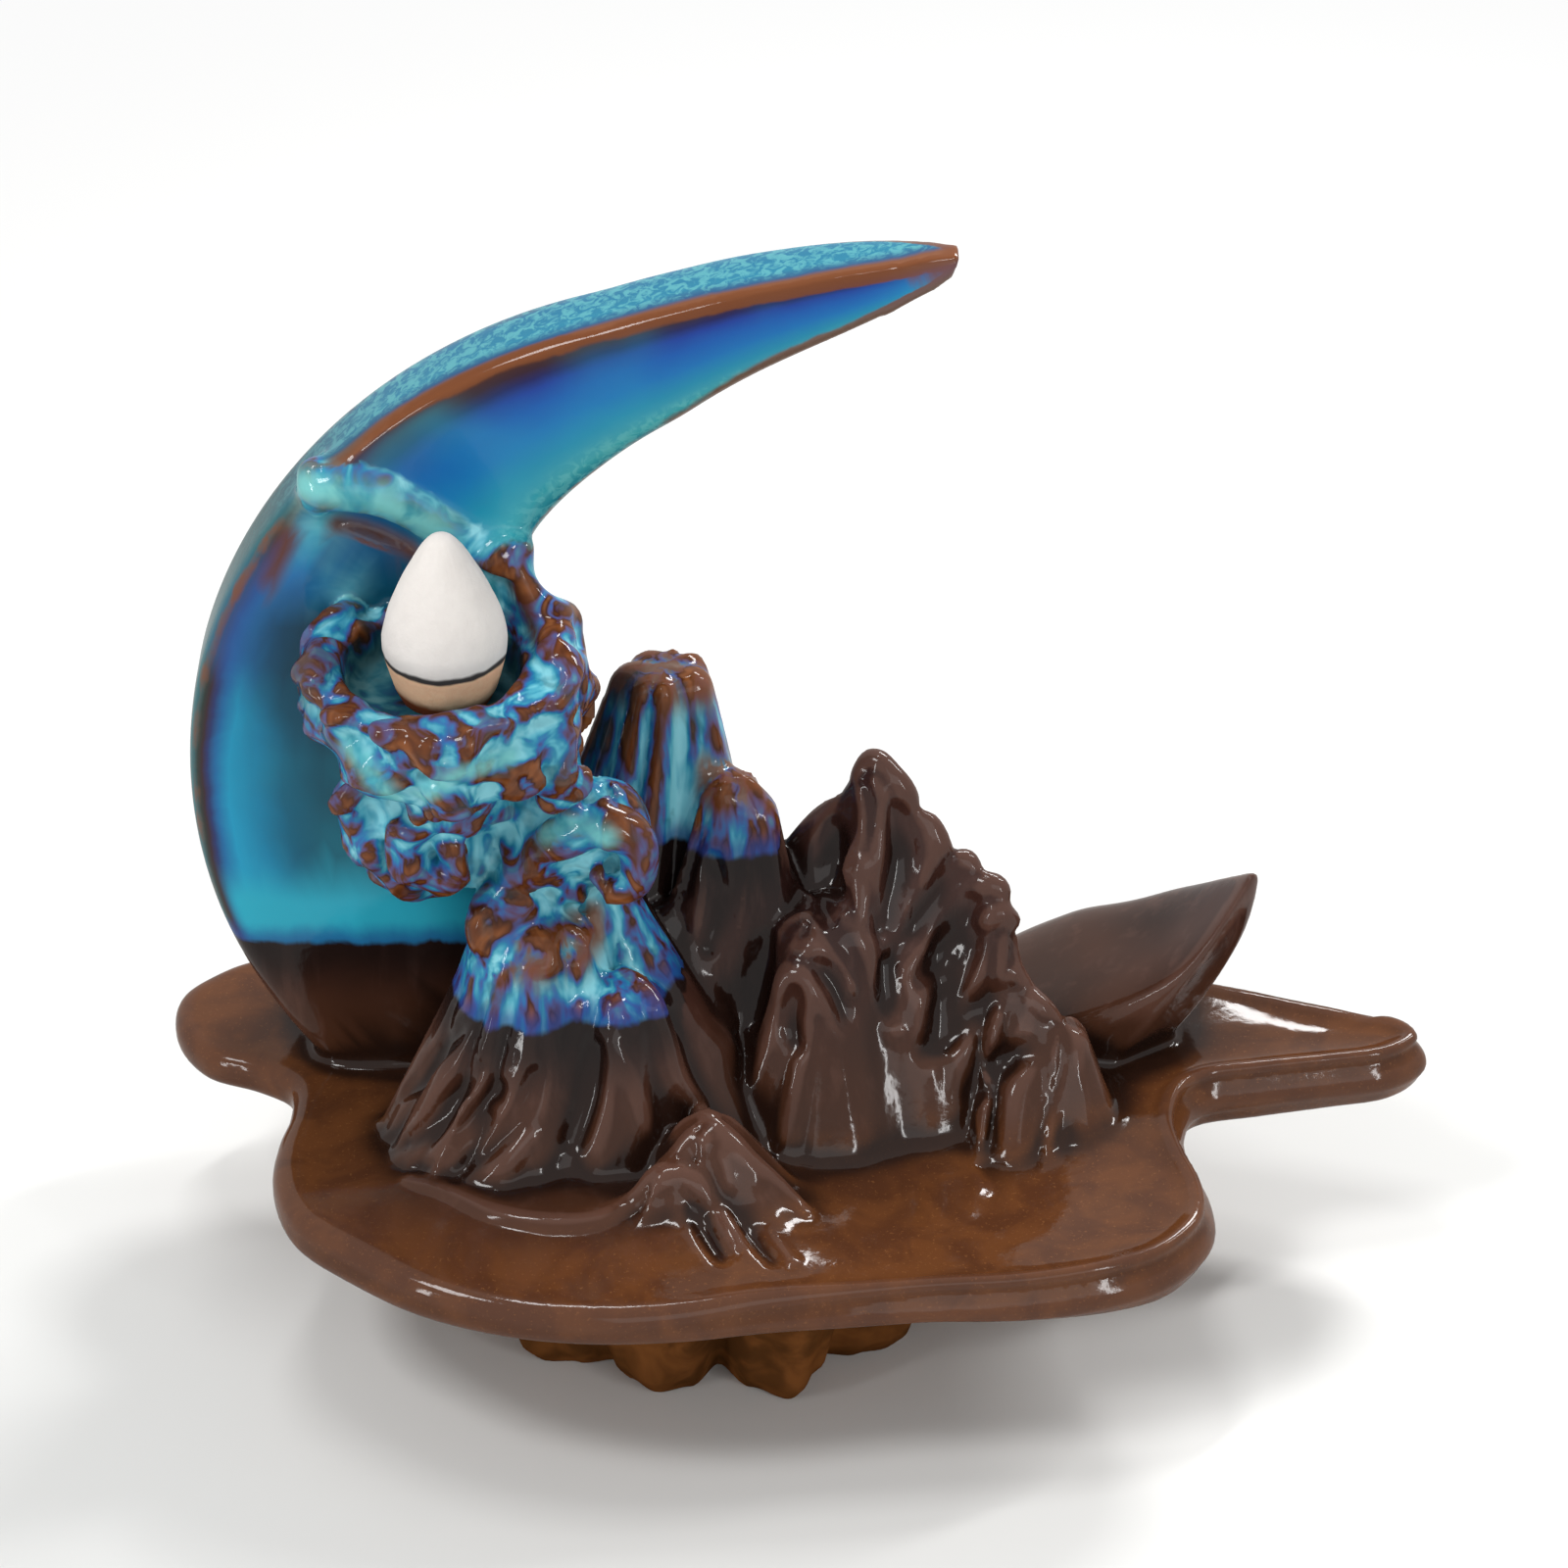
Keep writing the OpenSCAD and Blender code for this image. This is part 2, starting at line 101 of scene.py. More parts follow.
# %% Where a point shows in the photograph
PHOTO = 1600                 # pixels on a side
FORWARD = np.array((0, math.cos(LIFT), -math.sin(LIFT)))
UPWARD = np.array((0, math.sin(LIFT), math.cos(LIFT)))
EYE = np.array(AIM) - DISTANCE * FORWARD
FOCAL = PHOTO * LENS / SENSOR
BOWL_MIDDLE = (-42.3, -2.6, 95)


def seen_at(x, y, z):
    """Photo pixels, right and down, of a point in mm."""
    far = (y - EYE[1]) * FORWARD[1] + (z - EYE[2]) * FORWARD[2]
    rise = (y - EYE[1]) * UPWARD[1] + (z - EYE[2]) * UPWARD[2]
    return PHOTO / 2 + FOCAL * (x - EYE[0]) / far, PHOTO / 2 - FOCAL * rise / far


print("the bowl's middle would show at", [round(float(v)) for v in seen_at(*BOWL_MIDDLE)])

# %% [markdown]
# ## Clay as a block of samples
# Carved clay has no hard seams: one form flows into the next. Meshes joined
# with Booleans would show every seam, and sculpting by hand can't be written
# down. A block of numbers makes it easy. Each sample holds its distance to
# the surface in millimetres, less than zero inside. Pressing a form in keeps
# the smaller number, with a soft step where two are nearly equal, and
# cutting is the same with the signs turned.

# %% The block
STEP = 0.5
LOW, HIGH = (-83, -44, -3), (83, 44, 144)
xs, ys, zs = (np.arange(a, b, STEP, dtype=np.float32) for a, b in zip(LOW, HIGH))
FAR = 9.0
clay = np.full((len(xs), len(ys), len(zs)), FAR, np.float32)


def room(low, high):
    """The samples inside a box, and their coordinates."""
    cut = tuple(slice(*np.searchsorted(axis, (a, b)))
                for axis, a, b in zip((xs, ys, zs), low, high))
    x, y, z = (axis[c] for axis, c in zip((xs, ys, zs), cut))
    return cut, x[:, None, None], y[None, :, None], z[None, None, :]


def soft_min(a, b, melt):
    """The smaller of two distances, rounded over a few millimetres."""
    overlap = np.maximum(melt - np.abs(a - b), 0) / melt
    return np.minimum(a, b) - overlap * overlap * melt / 4


def press(form, low, high, melt):
    """Press a form into the clay."""
    cut, x, y, z = room(low, high)
    clay[cut] = soft_min(clay[cut], form(x, y, z).astype(np.float32), melt)


def carve(form, low, high, melt):
    """Cut a form out of the clay."""
    cut, x, y, z = room(low, high)
    clay[cut] = -soft_min(-clay[cut], form(x, y, z).astype(np.float32), melt)


def weigh(step):
    """Print how much clay there is after a step."""
    print(f"{step}: {(clay < 0).sum() * STEP ** 3 / 1000:.2f} cubic cm of clay")


def as_distance(level):
    """Turn any smooth level into millimetres, by its own steepness."""
    slope = np.sqrt(sum(g * g for g in np.gradient(level, STEP)))
    return level / np.maximum(slope, 0.02)


def ease(t):
    """A soft step from 0 to 1."""
    t = np.clip(t, 0, 1)
    return t * t * (3 - 2 * t)


def bump(x, y, middle, size):
    """A soft hill in plan, 1 high."""
    return np.exp(-((x - middle[0]) / size[0]) ** 2 - ((y - middle[1]) / size[1]) ** 2)


def smooth_line(points, steps, closed=False):
    """Points along a smooth curve through the given ones."""
    p = np.array(points, float)
    n = len(p)
    out = []
    for i in range(n if closed else n - 1):
        if closed:
            a, b, c, d = (p[(i + k) % n] for k in (-1, 0, 1, 2))
        else:
            a, b, c, d = p[max(i - 1, 0)], p[i], p[i + 1], p[min(i + 2, n - 1)]
        for t in np.arange(steps) / steps:
            out.append(0.5 * (2 * b + (c - a) * t + (2 * a - 5 * b + 4 * c - d) * t * t
                              + (3 * b - a - 3 * c + d) * t ** 3))
    if not closed:
        out.append(p[-1])
    return np.array(out)


print("samples:", clay.shape, "every", STEP, "mm")

# %% [markdown]
# ## The plate
# The plate is a leaf with lobes. Its top dips in a shallow hollow, and its
# right end has a thin lip over a groove and a full, round side. One smooth
# outline gives the distance to the edge, and two height maps give the top
# and the underside. That keeps the lobes exact, and the edge can be rounded
# anywhere without a bevel.

# %% Plate
PLATE_TOP = 27.6
EDGE = 5.4                   # thickness at the edge
OUTLINE = [(-69.5, 34.5), (-75.5, 30.5), (-79, 25.5), (-78.5, 18.5), (-74.5, 12.5),
           (-68, 9.5), (-63.5, 6), (-63, 0.5), (-64, -5.5), (-64, -13.5), (-61, -22),
           (-54.5, -28.5), (-45.5, -35), (-35, -39), (-24.5, -40.5), (-13.5, -40),
           (-4, -38.5), (6.5, -37.5), (16, -36.5), (27, -35.5), (37, -33),
           (44.5, -29), (49.5, -22), (50, -14.5), (48, -6.5), (47.5, -0.5), (50, 5),
           (57.5, 7), (66.5, 9), (74.5, 11), (79, 15.5), (77, 20.5), (70, 24),
           (61.5, 26.5), (48, 30.5), (30, 35), (8, 39), (-16, 40.5), (-40, 40),
           (-57, 38)]


def edge_distance(x, y):
    """Distance to the plate's outline in plan, less than zero inside."""
    line = smooth_line(OUTLINE, 5, closed=True)
    best = np.full(np.broadcast(x, y).shape, 1e9)
    inside = np.zeros(best.shape, bool)
    for (ax, ay), (bx, by) in zip(line, np.roll(line, -1, 0)):
        ux, uy = bx - ax, by - ay
        t = np.clip(((x - ax) * ux + (y - ay) * uy) / (ux * ux + uy * uy), 0, 1)
        best = np.minimum(best, np.hypot(x - ax - t * ux, y - ay - t * uy))
        crosses = (ay > y) != (by > y)
        with np.errstate(divide="ignore", invalid="ignore"):
            inside ^= crosses & (x < ux * (y - ay) / uy + ax)
    return np.where(inside, -best, best)


def plate_face(x, y):
    """Height of the plate's upper face."""
    return (PLATE_TOP - 0.7 * ((x / 158) ** 2 + (y / 81) ** 2)
            - 2.2 * bump(x, y, (17, -12), (24, 13)) + 3.4 * bump(x, y, (-33, -19), (24, 13))
            + 1.6 * bump(x, y, (-8, -24), (11, 9)) - 1.2 * bump(x, y, (66, 18), (10, 6)))


def plate(x, y, z):
    """The plate's distance: thin and flat, with a rounded edge."""
    flat = edge_distance(x[:, :, 0], y[:, :, 0])[:, :, None] + 0.12
    right = ease((x + 22) / 40)
    lip = 1.3 * right * np.where(y > 20, 0.5, 1)
    top = plate_face(x, y) + lip * np.exp(-((-flat - 1.7) / 1.7) ** 2)
    drop = 2.6 * np.clip((x - 15) / 30, 0, 1)
    under = PLATE_TOP - EDGE - drop - 5.4 * ease(-flat / 60) * 2
    side = right * (0.95 * np.exp(-((z - top + 4.4) / 1.7) ** 2) - 0.95
                    - 0.8 * np.exp(-((z - top + 2.1) / 0.7) ** 2))
    turn = 2.3               # radius of the rounded edge
    out = flat - side + turn
    up = np.maximum(z - top, under - z) + turn
    return (np.hypot(np.maximum(out, 0), np.maximum(up, 0))
            + np.minimum(np.maximum(out, up), 0) - turn)


press(plate, (-83, -44, 8), (83, 44, 36), 0.1)
weigh("plate pressed")

# %% [markdown]
# ## The moon
# The crescent is a section swept round a circle: narrow at the tips, wide at
# the back, deep where it stands. The front outer corner is a crisp ridge,
# because the glaze runs off it, and the front face is a little hollow. A
# curve with a bevel couldn't change from a wide oblong to a thin tip like
# that, so its widths and depths are tables, read by the angle.

# %% Moon
MOON_R = 66
MOON_X, MOON_Z = -6.7, PLATE_TOP + 0.6 * MOON_R
MOON_FACE, MOON_DEPTH = 8.5, 24
OUTER = ((71, 1.18), (74, 1.152), (77, 1.12), (86, 1.058), (96, 1.018), (104, 1),
         (130, 1.008), (165, 1.02), (195, 1.016), (230, 1), (340, 1), (349, 0.98))
INNER = ((71, 1.145), (72.5, 1.095), (75.7, 1.024), (80, 0.958), (85.2, 0.898),
         (91, 0.842), (97.8, 0.782), (110, 0.717), (126, 0.645), (145, 0.57),
         (165, 0.52), (190, 0.49), (220, 0.49), (250, 0.53), (280, 0.62), (305, 0.71),
         (322, 0.79), (328, 0.837), (334, 0.886), (342, 0.926), (346.5, 0.952),
         (349, 0.958))
DEEP = ((71, 0.16), (73, 0.25), (77, 0.42), (86, 0.56), (96, 0.6), (120, 0.66),
        (150, 0.74), (180, 0.86), (210, 1), (290, 1.1), (315, 1.26), (322, 1.2),
        (328, 1.04), (334, 0.9), (342, 0.54), (346.5, 0.3), (349, 0.14))
TIPS = (71.4, 349.4)


def by_angle(table, angle, soften=2.5):
    """Read a table by angle, with its corners rounded."""
    fine = np.arange(60, 362, 0.25)
    values = np.interp(fine, *zip(*table))
    reach = np.arange(-4 * soften, 4 * soften + 0.1, 0.25)
    kernel = np.exp(-(reach / soften) ** 2)
    padded = np.pad(values, len(reach) // 2, mode="edge")
    values = np.convolve(padded, kernel / kernel.sum(), mode="valid")
    near_tip = np.minimum(np.abs(fine - TIPS[0]), np.abs(fine - TIPS[1])) < 5
    values = np.where(near_tip, np.interp(fine, *zip(*table)), values)
    return np.interp(angle, fine, values)


def moon_place(x, z):
    """Angle round the moon, and place across the crescent from -1 to 1."""
    angle = np.degrees(np.arctan2(z - MOON_Z, x - MOON_X)) % 360
    r = np.hypot(x - MOON_X, z - MOON_Z)
    outer, inner = MOON_R * by_angle(OUTER, angle), MOON_R * by_angle(INNER, angle)
    half = np.maximum((outer - inner) / 2, 0.6)
    return angle, r, half, (r - (outer + inner) / 2) / half


def moon(x, y, z):
    """The crescent's distance."""
    angle, r, half, across = moon_place(x, z)
    deep = MOON_DEPTH * by_angle(DEEP, angle) / 2
    back = (y - MOON_FACE - deep) / deep
    hollow = 0.07 * (1 - across ** 2).clip(0) * ease((deep - 3) / 4)
    back = np.where(back < 0, back * (1 + hollow), back)
    crisp = np.where(back < 0, 3.6 + 2.6 * ease(across * 2 - 0.2), 3)
    level = (np.abs(across) ** crisp + np.abs(back) ** crisp) ** (1 / crisp) - 1
    # the horn's lower front corner is cut off in a slope about 5 mm wide
    slope = (6 * ease((angle - 285) / 30) - (1 - across) * half
             - (back + 1) * deep) / math.sqrt(2)
    past = np.maximum(TIPS[0] - angle, angle - TIPS[1])
    past = np.where(angle < 25, angle + 360 - TIPS[1], past)
    past = past * np.pi / 180 * r
    body = level / np.sqrt((np.abs(across / (level + 1)) ** (crisp - 1) / half) ** 2
                           + (np.abs(back / (level + 1)) ** (crisp - 1) / deep) ** 2
                           + 1e-4)
    body = np.where(angle > 280, -soft_min(-body, -slope, 0.8), body)
    return np.maximum(body, past) + 0.06


press(moon, (-83, 4, 22), (60, 44, 144), 2.0)
weigh("moon pressed")

# %% [markdown]
# ## The peaks
# Each mountain is a flared cone whose sides are pulled into ribs. The ribs
# fade at the very top, where glaze has rounded them, and lean a little, so
# that no two sides are alike. Ribs made by a rule stay even, as a carver's
# do, and they still flow into the plate, because all of it is one clay.

# %% Peaks
ROOT = PLATE_TOP - 4


def rib_wave(turn, count, seed, uneven, low=0.15, high=0.25, drift=1.3):
    """Ribs by angle: four points to a rib, from -1 in a valley to 1 on a crest."""
    k = count * 4
    j = turn * k / (2 * np.pi)
    start = j
    for _ in range(3):
        j = start - drift * np.sin(4 * np.pi * j / k + math.radians(seed))
    values = np.array([(-1, low, 1, high)[i % 4]
                       * (1 + uneven * math.sin(math.radians(137 * (i // 4) + seed)))
                       for i in range(k)])
    i = np.floor(j).astype(int)
    f = ease(j - i)
    return values[i % k] * (1 - f) + values[(i + 1) % k] * f


def peak(foot, top, size, cap, ribs, flare=1.1, seed=0, deep=1.0, blunt=0.9):
    """Press one mountain: foot (x, y), top (x, y, z), half width and half depth."""
    def form(x, y, z):
        rise = np.clip((z - ROOT) / (top[2] - ROOT), 0, 1)
        slide = 1 - (1 - rise) ** 1.3
        cx = foot[0] + (top[0] - foot[0]) * slide
        cy = foot[1] + (top[1] - foot[1]) * slide
        spread = (1 - rise) ** flare
        rx = cap + (size[0] - cap) * spread
        ry = cap * 0.85 + (size[1] - cap * 0.85) * spread
        turn = np.arctan2((y - cy) / ry, (x - cx) / rx)
        first = turn
        for _ in range(3):
            turn = first - math.radians(20) * (1 - rise) * np.sin(turn)
        fade = np.where(rise > 0.93, 0.5, 0.5 + 0.4 * np.sin(np.pi * rise))
        rib = 0.16 * deep * fade * rib_wave(turn, ribs, seed, 0.45)
        reach = np.hypot((x - cx) / rx, (y - cy) / ry) / (1 + rib)
        side = as_distance((reach - 1) * np.minimum(rx, ry))
        return -soft_min(-side, -(z - top[2] - 2 * rib), cap * blunt)
    low = [min(foot[i], top[i]) - size[i] * 1.3 - 4 for i in (0, 1)]
    high = [max(foot[i], top[i]) + size[i] * 1.3 + 4 for i in (0, 1)]
    press(form, (*low, ROOT - 3), (*high, top[2] + 4), 1.6)


peak((9, 7), (8.6, 13, 60), (16, 14), 3.6, 6, flare=1, seed=20)
peak((32.5, 1), (32, 5, 37.5), (9, 8), 3, 5, seed=10)
peak((2.2, 1), (2, 7, 52.6), (13, 12), 4.4, 7, seed=60, deep=0.6)
peak((0.5, -1), (1.2, 3, 47.6), (11.5, 10), 4.2, 6, deep=0.6)
peak((-20, 19), (-16.6, 20.5, 79.4), (19, 15), 5.5, 7, flare=1, seed=30, blunt=0.4)
peak((-10, 10), (-8.6, 14, 68), (16, 14), 3.4, 6, seed=100, deep=0.8)
peak((-8, 11), (-5.8, 13, 65), (13, 12), 3, 6, seed=10, deep=0.8)
peak((-35, -8), (-32, -2.6, 57), (18, 15), 7.0, 8, flare=1.3, seed=50, deep=0.6,
     blunt=0.6)
peak((-23, -9), (-22, -5.6, 51), (13, 11), 5, 7, seed=120, deep=0.7)
peak((-8.5, -20), (-11.3, -15.5, 37.8), (14, 9.5), 3.2, 6, seed=15, deep=1.2)
peak((-14, -23), (-15.6, -20, 34.6), (9, 7), 2.6, 5, seed=70, deep=1.2)


def ramp(x, y, z):
    """The slope from the clouds down to the plate's hollow."""
    line = ((-25, 5, 53.6), (-14, 0, 35.6), (-10, -6, 24.6), (-30, 8, 27.6))
    best = np.full(np.broadcast(x, y, z).shape, 99.0)
    for first, last in ((0, 1), (1, 2), (0, 3), (1, 3), (0, 2), (2, 3)):
        a, b = np.array(line[first]), np.array(line[last])
        u = b - a
        t = ((x - a[0]) * u[0] + (y - a[1]) * u[1] + (z - a[2]) * u[2]) / (u @ u)
        t = np.clip(t, 0, 1)
        away = np.sqrt((x - a[0] - t * u[0]) ** 2 + (y - a[1] - t * u[1]) ** 2
                       + (z - a[2] - t * u[2]) ** 2)
        best = soft_min(best, away - 6, 1.5)
    return best


press(ramp, (-42, -16, 16), (0, 20, 66), 1.5)
weigh("peaks pressed")

# %% [markdown]
# ## The crests
# Between the peaks run long crests with beads of glaze along the top and
# folds down the front. The crest is a line, and each side is a slope whose
# folds slide to the left as they fall. One height for each place along the
# line is enough, since nothing on a crest overhangs.

# %% Crests
def crest(points, front, back, ribs, seed=0.0, lean=5.0, beads=0.5):
    """Press a crest through points (x, y, z), left to right."""
    line = smooth_line(sorted(points), 6)
    line = line[np.argsort(line[:, 0])]

    def form(x, y, z):
        top0 = np.interp(x, line[:, 0], line[:, 2])
        fall = np.clip(1 - (z - ROOT) / np.maximum(top0 - ROOT, 4), 0, 1)
        xx = x + lean * fall
        top = np.interp(xx, line[:, 0], line[:, 2])
        cy = np.interp(xx, line[:, 0], line[:, 1])
        u = np.interp(xx, line[:, 0], np.linspace(0, 1, len(line)))
        rib = np.abs(np.sin(np.pi * ribs * u + math.radians(seed))) * 2 - 1.2
        top = top + beads * rib * 0.6
        fall = np.clip(1 - (z - ROOT) / np.maximum(top - ROOT, 4), 0, 1)
        fade = np.sin(np.pi * np.clip(1.15 - fall, 0, 1))
        ahead = (cy - 1.5 - front * fall ** 1.15 - 1.4 * rib * fade) - y
        behind = y - (cy + 1.3 + (back - 1.2) * fall + 0.7 * rib)
        ends = np.maximum(line[0, 0] - 1 - xx, xx - line[-1, 0] - 1)
        side = as_distance(-soft_min(-ahead, -behind, 2.5))
        side = -soft_min(-side, -(z - top) * 0.8, 2.5)
        return -soft_min(-side, -ends, 2.0)
    low = line.min(0) - (lean + 5 if lean > 0 else 5, front + 6, 0)
    high = line.max(0) + (5 if lean > 0 else 5 - lean, back + 6, 5)
    press(form, (low[0], low[1], ROOT - 3), tuple(high), 1.3)


crest([(-9, 17, 50), (-3.2, 17, 55.6), (2.5, 16.5, 61.4), (6.6, 16, 66.4),
       (10.1, 15, 69.4), (13.4, 14, 64.9), (17.2, 13, 61.1), (20.5, 12, 56.4),
       (25, 10, 53.2), (26.9, 8, 46), (29.5, 6, 40.5), (34, 4, 36)],
      14, 14, 8, seed=30)
crest([(-7, 16, 48), (-3, 15, 54), (0, 11.5, 53.6), (3, 8, 52), (6.5, 6, 48),
       (10, 4, 42)], 10, 6, 4, seed=50, lean=3)
crest([(-6, 9, 47), (-12, 9.5, 53), (-17, 9, 52), (-21.5, 8, 48.5), (-24, 8, 42)],
      5, 9, 4, lean=-3)
weigh("crests pressed")

# %% [markdown]
# ## The clouds and the bowl
# The bowl is a drum wrapped in rolls of cloud. A roll is a string of balls
# along a short curve, so each one is given as a few points with a radius. A
# bevelled curve would give the same roll, but it couldn't melt into the next.

# %% Rolls and balls
BOWL_R = 11.75
BOWL = np.array((MOON_X + 0.685 * MOON_R * math.cos(math.radians(142)),
                 MOON_FACE - 0.94 * BOWL_R,
                 MOON_Z + 0.685 * MOON_R * math.sin(math.radians(142))))
BOWL_DEPTH, BOWL_WALL = 5.4, 4.6
CONE_AT = BOWL + (1.1, 0, -BOWL_DEPTH)
cloud_rolls = []


def roll(points, melt=1.0, squash=1.15):
    """Press a tapered roll along (x, y, z, radius) points from the bowl."""
    line = smooth_line(points, 5)
    line[:, :3] += BOWL
    cloud_rolls.append(line)
    reach = line[:, 3].max() + 3

    def form(x, y, z):
        best = np.full(np.broadcast(x, y, z).shape, 99.0)
        for a, b in zip(line[:-1], line[1:]):
            u = b[:3] - a[:3]
            t = ((x - a[0]) * u[0] + (y - a[1]) * u[1] + (z - a[2]) * u[2]) / (u @ u)
            t = np.clip(t, 0, 1)
            away = np.sqrt((x - a[0] - t * u[0]) ** 2
                           + ((y - a[1] - t * u[1]) / squash) ** 2
                           + (z - a[2] - t * u[2]) ** 2)
            best = np.minimum(best, away - a[3] - t * (b[3] - a[3]))
        return best
    press(form, tuple(line[:, :3].min(0) - reach), tuple(line[:, :3].max(0) + reach),
          melt)


def ball(at, radius, scale=(1, 1, 1), melt=2.0):
    """Press a stretched ball."""
    middle = BOWL + at

    def form(x, y, z):
        d = [(v - m) / s for v, m, s in zip((x, y, z), middle, scale)]
        return (np.sqrt(sum(v * v for v in d)) - radius) * min(scale)
    reach = radius * max(scale) + 4
    press(form, tuple(middle - reach), tuple(middle + reach), melt)


print("bowl at", BOWL.round(1), "mm")


# %% Clouds
def drum(x, y, z):
    """The bowl's body: a drum that widens a little towards its rim."""
    h = z - BOWL[2]
    r = np.hypot(x - BOWL[0], (y - BOWL[1]) / 0.95)
    wide = BOWL_R + np.interp(h, (-15, -2.6, -0.4), (0, 3.7, 2.3))
    return -soft_min(-(r - wide), -np.maximum(h + 0.2, -h - 15), 1.5)


press(drum, tuple(BOWL - 20), tuple(BOWL + 20), 1.5)
for at, radius, scale in (((-1, 2, -17), 9.5, (1.1, 0.8, 1)),
                          ((-2, 4, -27), 9, (1, 0.6, 1)),
                          ((15, 4, -27), 9.5, (1, 0.7, 0.9)),
                          ((12, 6, -13), 8, (0.9, 0.8, 1.2))):
    ball(at, radius, scale)
for first, last, out, height, radius in ((136, 400, 2.7, -1.6, 2.1),
                                         (160, 390, 2, -5.6, 2.4),
                                         (190, 350, 1.2, -9, 2.5)):
    around = []
    for i in range(10):
        a = first + (last - first) * i / 9
        u = math.radians(197 * i + first)
        r = BOWL_R + out + 0.9 * math.sin(u)
        around.append((r * math.cos(math.radians(a)), 0.95 * r * math.sin(math.radians(a)),
                       height + (1.2 if i % 2 == 0 else -1.2) * abs(math.sin(u)),
                       radius + 0.6 * math.sin(u * 1.3)))
    roll(around)
roll([(-10, -3.5, -7.2, 2.4), (-8.6, -5.5, -10, 3.1), (-5.3, -7.5, -10.7, 3.2),
      (-1.7, -9.5, -8.8, 3), (0.7, -10.5, -5.4, 2.2)])
roll([(3, -11, -5.5, 2.4), (6.3, -10.5, -6.8, 3), (9.6, -8.5, -6.7, 3.2),
      (12.9, -6, -8.7, 3), (15.6, -3, -8.6, 2.2)])
roll([(-1, -7.5, -16.4, 2), (3.9, -9.5, -11.8, 2.6), (8.4, -9, -10.8, 2.8),
      (12.8, -6.5, -11.8, 2.6), (15.4, -4.5, -14.4, 2.2), (13, -5.5, -16.2, 1.5)])
roll([(-9.4, 0, -14.2, 2), (-10.6, -1, -18, 2.6), (-9.8, -1.5, -21.9, 2.7),
      (-8.3, -1.5, -26, 2.4), (-6.2, -1, -29.9, 2), (-3.8, 1, -33.3, 1.5)])
roll([(3.1, -4.5, -19.8, 1.6), (-0.6, -4.8, -18.4, 2), (-3.8, -4.8, -21.2, 2.1),
      (-4, -4.3, -26.1, 2), (-1, -3.6, -28.8, 1.9), (2, -4, -26.5, 1.7),
      (1.2, -4.6, -23, 1.5)])
roll([(7.4, 1, -33.3, 2.2), (10.4, -0.5, -28.4, 2.6), (14.1, -2.5, -23.3, 2.9),
      (18, -3.5, -21.4, 2.9), (21.6, -3.5, -22.2, 2.7), (23.2, -3.5, -25, 2.4),
      (22.8, -3.5, -29, 2.1), (20.2, -3.5, -30.4, 1.8), (18.2, -3.5, -28.8, 1.4)])
roll([(10.3, 0, -32.2, 2), (6.9, -1.5, -33.4, 2.3), (4.8, -2.5, -35.5, 2.4),
      (5, -2.5, -38.8, 2.1), (7.8, -1.5, -40.5, 1.6)])
roll([(10.4, 10, 5, 1.6), (12.4, 8, 2, 2.3), (13.9, 4.8, -1, 2.5),
      (14.1, 2.3, -5, 2.7), (14, 2.5, -10, 2.6), (13.6, 1.5, -15.2, 1.8)], melt=2.5)
roll([(-14.5, 12.4, 17, 1.6), (-13.5, 12, 15.6, 2.2), (-11, 11.7, 15.6, 2.3),
      (-6.4, 11.7, 14.6, 1.9), (-2, 12, 12.2, 1.6), (2.4, 12.4, 9, 1.3),
      (7.5, 12.4, 5.5, 1.1)], melt=3.5)
ball((9.5, 9.5, 0.5), 6, (1, 0.7, 1.5), melt=3.0)
ball((10.3, -0.5, -44), 6.6, (1, 0.9, 1.25), melt=3.0)
print("cloud rolls pressed:", len(cloud_rolls))

# %% [markdown]
# ## Trimming the bowl
# A sculptor turns the work, looks along an edge and shaves off what bulges.
# Here an oval of the photograph is cut away, but only near the bowl and only
# as deep as a box allows, so it stays a small cut from every side.

# %% The bowl's outline
PIXELS_PER_MM = 8.8          # in the photograph, at the bowl


def trim(middle, size, low, high):
    """Cut away what would show in an oval of the photograph, near the bowl."""
    def form(x, y, z):
        u, v = seen_at(x, y, z)
        oval = np.hypot((u - middle[0]) / size[0], (v - middle[1]) / size[1])
        return (oval - 1) * min(size) / PIXELS_PER_MM
    carve(form, tuple(BOWL + low), tuple(BOWL + high), 2.0)


def low_front(x, y, z):
    """The rim dips at the front, so the whole cone shows."""
    return BOWL[2] - 1.3 + 1.8 * ease((y - BOWL[1] + 9) / 6) - z


trim((316, 784), (36, 32), (-30, -20, -36), (0, 9.5, 2))
trim((622, 745), (31, 42), (0, -20, -36), (30, 9.5, 2))
trim((600, 578), (55, 38), (0, -20, -14), (40, 30, 16))
carve(low_front, tuple(BOWL - (18, 20, 5)), tuple(BOWL + (18, -3, 6)), 1.5)
weigh("bowl trimmed")

# %% [markdown]
# ## Rolls of glaze on the bowl
# The drum of the bowl is a heap of small curls. Placing each one by hand
# would take days. Soft random lumps, two or three millimetres wide, are
# worked into it instead: the crest of each lump becomes a brown curl later,
# and the grooves between them fill with pale glaze.

# %% Curls
CURL_SIZE, CURL_SEED = 2.6, 5          # mm, and the seed of the random lumps
CURL_HIGH, CURL_FOLD = 0.6, 2.2        # mm, and how often a lump folds over


